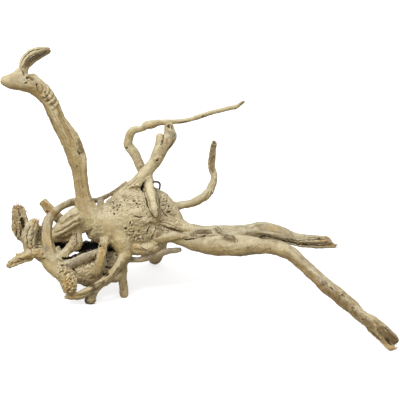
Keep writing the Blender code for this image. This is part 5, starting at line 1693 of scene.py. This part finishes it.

# %% [markdown]
# ## The skin's material
# The ground is straw with khaki patches. It is paler where it faces the sky, partly from bleaching
# and partly as painted highlight. It is warmer and darker where it faces down, which is painted
# shade.
# The tints of the marks come next. Then every hollow gets painted brown shade and every ridge a
# painted highlight. The dark cracks and black caves come last, as painted shade that nothing
# laid after them lightens. Weathered wood has hardly any gloss, so the roughness is high and the
# specular level low.

# %% The colours of the wood
STRAW = (0.50, 0.405, 0.205, 1)
KHAKI = (0.335, 0.25, 0.105, 1)
# The colour for up-facing sides is partly bleaching and partly painted highlight. SHADED is painted
# shade for down-facing sides.
BLEACHED_AND_LIT = (0.62, 0.56, 0.40, 1)
SHADED = (0.43, 0.29, 0.115, 1)
# The pale tint doubles as painted highlight on ridges and tops. The bark, dark and black tints
# double as painted shade in cracks, holes, caves and crotches and under ledges.
TINT_COLOURS = {
    "pale_and_highlight": (0.68, 0.585, 0.375, 1), "ochre": (0.42, 0.265, 0.085, 1),
    "rust": (0.30, 0.155, 0.06, 1), "grey": (0.205, 0.17, 0.13, 1),
    "bark_and_shade": (0.145, 0.093, 0.038, 1), "dark": (0.042, 0.024, 0.011, 1),
    "black_shade": (0.004, 0.004, 0.005, 1),
}
BLACK_EDGE = 1.3


def driftwood():
    """The finish of the skin."""
    wood = bpy.data.materials.new("driftwood")
    wood.use_nodes = True
    graph = wood.node_tree
    shader = graph.nodes["Principled BSDF"]
    here = graph.nodes.new("ShaderNodeTexCoord").outputs["Object"]
    place = node_in(graph, "ShaderNodeAttribute", attribute_name="grain_place").outputs["Vector"]
    pure = mask_from(graph, "pure")
    grain = node_in(graph, "ShaderNodeGroup", node_tree=GRAIN)
    graph.links.new(place, grain.inputs["Place"])
    patches = noise_at(graph, here, 32.0, 3.0)
    mottle = noise_at(graph, here, 170.0, 3.0)
    crumbs = noise_at(graph, here, 700.0, 2.0)
    sunk = mask_from(graph, "sunk")
    top_light_and_bleach = mask_from(graph, "top_light_and_bleach")
    colour = tinted(graph, STRAW, KHAKI, ramped(graph, patches, 0.35, 0.68, 0.0, 0.75))
    # Painted shade where the wood faces down, and a paler top that is partly bleaching and partly
    # painted highlight.
    colour = tinted(graph, colour, SHADED, ramped(graph, top_light_and_bleach, 0.6, 0.15, 0.0, 0.6))
    colour = tinted(graph, colour, BLEACHED_AND_LIT, ramped(graph, top_light_and_bleach, 0.55, 0.9, 0.0, 0.75))
    colour = tinted(graph, colour, KHAKI, ramped(graph, mottle, 0.5, 0.72, 0.0, 0.55))
    streaks = ramped(graph, grain.outputs["Streaks"], 0.52, 0.68)
    streaks = calculated(graph, "MULTIPLY", calculated(graph, "MULTIPLY", streaks, pure), 0.42)
    colour = tinted(graph, colour, TINT_COLOURS["bark_and_shade"], streaks)
    ragged_edge = ramped(graph, mottle, 0.3, 0.7, 0.65, 1.3)
    # Before the dark tint, every hollow gets painted brown shade and every ridge a painted
    # highlight.
    for name, tone in TINT_COLOURS.items():
        if name == "dark":
            hollow = ramped(graph, sunk, 0.54, 0.8, 0.0, 0.85)
            ridge = ramped(graph, sunk, 0.45, 0.2, 0.0, 0.8)
            colour = tinted(graph, colour, TINT_COLOURS["bark_and_shade"], hollow)
            colour = tinted(graph, colour, TINT_COLOURS["pale_and_highlight"], ridge)
        edge = BLACK_EDGE if name == "black_shade" else ragged_edge
        share = calculated(graph, "MULTIPLY", mask_from(graph, name), edge)
        share.node.use_clamp = True
        colour = tinted(graph, colour, tone, share)
    graph.links.new(colour, shader.inputs["Base Color"])
    graph.links.new(ramped(graph, mottle, 0.3, 0.7, 0.62, 0.86), shader.inputs["Roughness"])
    shader.inputs["Specular IOR Level"].default_value = 0.22
    fine = calculated(graph, "MULTIPLY", grain.outputs["Height"], pure)
    total = calculated(graph, "ADD", fine, calculated(graph, "MULTIPLY", crumbs, 0.7))
    bump = node_in(graph, "ShaderNodeBump", Strength=0.6, Distance=0.0008, Height=total)
    graph.links.new(bump.outputs[0], shader.inputs["Normal"])
    return wood


WOOD = driftwood()
print("driftwood", len(WOOD.node_tree.nodes), "nodes")

# %% Torn fibres
def torn_wood(name, light, deep):
    """The finish of fresh torn fibres: the same grain, warmer, without the masks."""
    wood = bpy.data.materials.new(name)
    wood.use_nodes = True
    graph = wood.node_tree
    shader = graph.nodes["Principled BSDF"]
    here = graph.nodes.new("ShaderNodeTexCoord").outputs["Object"]
    grain = node_in(graph, "ShaderNodeGroup", node_tree=GRAIN)
    graph.links.new(here, grain.inputs["Place"])
    share = ramped(graph, noise_at(graph, here, 260.0, 3.0), 0.35, 0.65)
    colour = tinted(graph, light, deep, share)
    streaks = ramped(graph, grain.outputs["Streaks"], 0.5, 0.7, 0, 0.5)
    colour = tinted(graph, colour, TINT_COLOURS["bark_and_shade"], streaks)
    graph.links.new(colour, shader.inputs["Base Color"])
    shader.inputs["Roughness"].default_value = 0.8
    shader.inputs["Specular IOR Level"].default_value = 0.2
    height = grain.outputs["Height"]
    bump = node_in(graph, "ShaderNodeBump", Strength=0.4, Distance=0.0003, Height=height)
    graph.links.new(bump.outputs[0], shader.inputs["Normal"])
    return wood


FIBRE = torn_wood("torn_fibre", (0.56, 0.42, 0.23, 1), (0.36, 0.22, 0.10, 1))
ROOTLET = torn_wood("dried_rootlet", (0.10, 0.075, 0.05, 1), (0.05, 0.035, 0.02, 1))
print("torn wood", FIBRE.name, "and", ROOTLET.name)

# %% [markdown]
# ## Into the frame
# The six pieces of skin take the place of the plain solid, and the fibres are added to them. All
# of them ride on the one body, because the root is one piece of wood.

# %% Each piece gets its finish and its place in the frame
for piece, finish in (*((skin, WOOD) for skin in skins), (fibres, FIBRE), (rootlet, ROOTLET)):
    piece.data.materials.clear()
    piece.data.materials.append(finish)
    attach(piece, "root")
for skin in skins:
    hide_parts("redmoor_root")
print(len(skins) + 2, "pieces dressed")

# %% [markdown]
# ## Floor and light
# The photograph was taken in a light tent: white all round, a little brighter from above and
# from the sides than from the camera, and a white floor on which the shadow all but vanishes.

# %% Floor
bpy.ops.object.select_all(action="DESELECT")
bpy.ops.mesh.primitive_plane_add(size=6.0, location=(0, 0, 0))
floor = bpy.context.object
floor.name = "floor"
PAPER = {
    "Base Color": (0.5, 0.5, 0.5, 1), "Roughness": 0.9, "Specular IOR Level": 0.1,
    "Emission Color": (1, 1, 1, 1), "Emission Strength": 0.7,
}
paper = bpy.data.materials.new("white_paper")
paper.use_nodes = True
for name, value in PAPER.items():
    paper.node_tree.nodes["Principled BSDF"].inputs[name].default_value = value
floor.data.materials.append(paper)
floor.visible_diffuse = False
floor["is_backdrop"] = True
print("floor", [round(side, 2) for side in floor.dimensions], "m")

# %% Light
FROM_BELOW, FROM_ABOVE = 0.18, 1.02
FROM_SIDES, FROM_FRONT = 0.12, 0.07
KEY_STRENGTH, KEY_SOFTNESS = 1.85, math.radians(22)
KEY_TURN = (math.radians(30), math.radians(-22), 0)


def tent_light(world):
    """White light from all round: most from above, a little more from the sides and front."""
    graph = world.node_tree
    direction = graph.nodes.new("ShaderNodeTexCoord").outputs["Generated"]
    way = node_in(graph, "ShaderNodeSeparateXYZ", Vector=direction)
    height = ramped(graph, way.outputs["Z"], -0.5, 1.0, FROM_BELOW, FROM_ABOVE)
    aside = calculated(graph, "ABSOLUTE", way.outputs["X"], 0.0)
    sides = calculated(graph, "MULTIPLY", aside, FROM_SIDES)
    front = calculated(graph, "MULTIPLY", way.outputs["Y"], -FROM_FRONT)
    total = calculated(graph, "ADD", height, calculated(graph, "ADD", sides, front))
    graph.links.new(total, graph.nodes["Background"].inputs["Strength"])


world = bpy.data.worlds.new("tent")
bpy.context.scene.world = world
world.use_nodes = True
world.node_tree.nodes["Background"].inputs["Color"].default_value = (1, 1, 1, 1)
tent_light(world)
bpy.ops.object.light_add(type="SUN", rotation=KEY_TURN)
key = bpy.context.object
key.name = "soft_key"
key.data.energy, key.data.angle = KEY_STRENGTH, KEY_SOFTNESS
bpy.context.scene.view_settings.view_transform = "Standard"
print("tent and key light", round(key.data.energy, 2))

# %% [markdown]
# ## Does it still fit its frame?
# The skin may stand out only a little past the solid that it replaces, so the box round all
# that is shown is measured and printed.

# %% The size of what is shown
bpy.context.view_layer.update()
visual_box = [list(corner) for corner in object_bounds()]
print("visual box", visual_box, "script", round(time.time() - started, 1), "s")
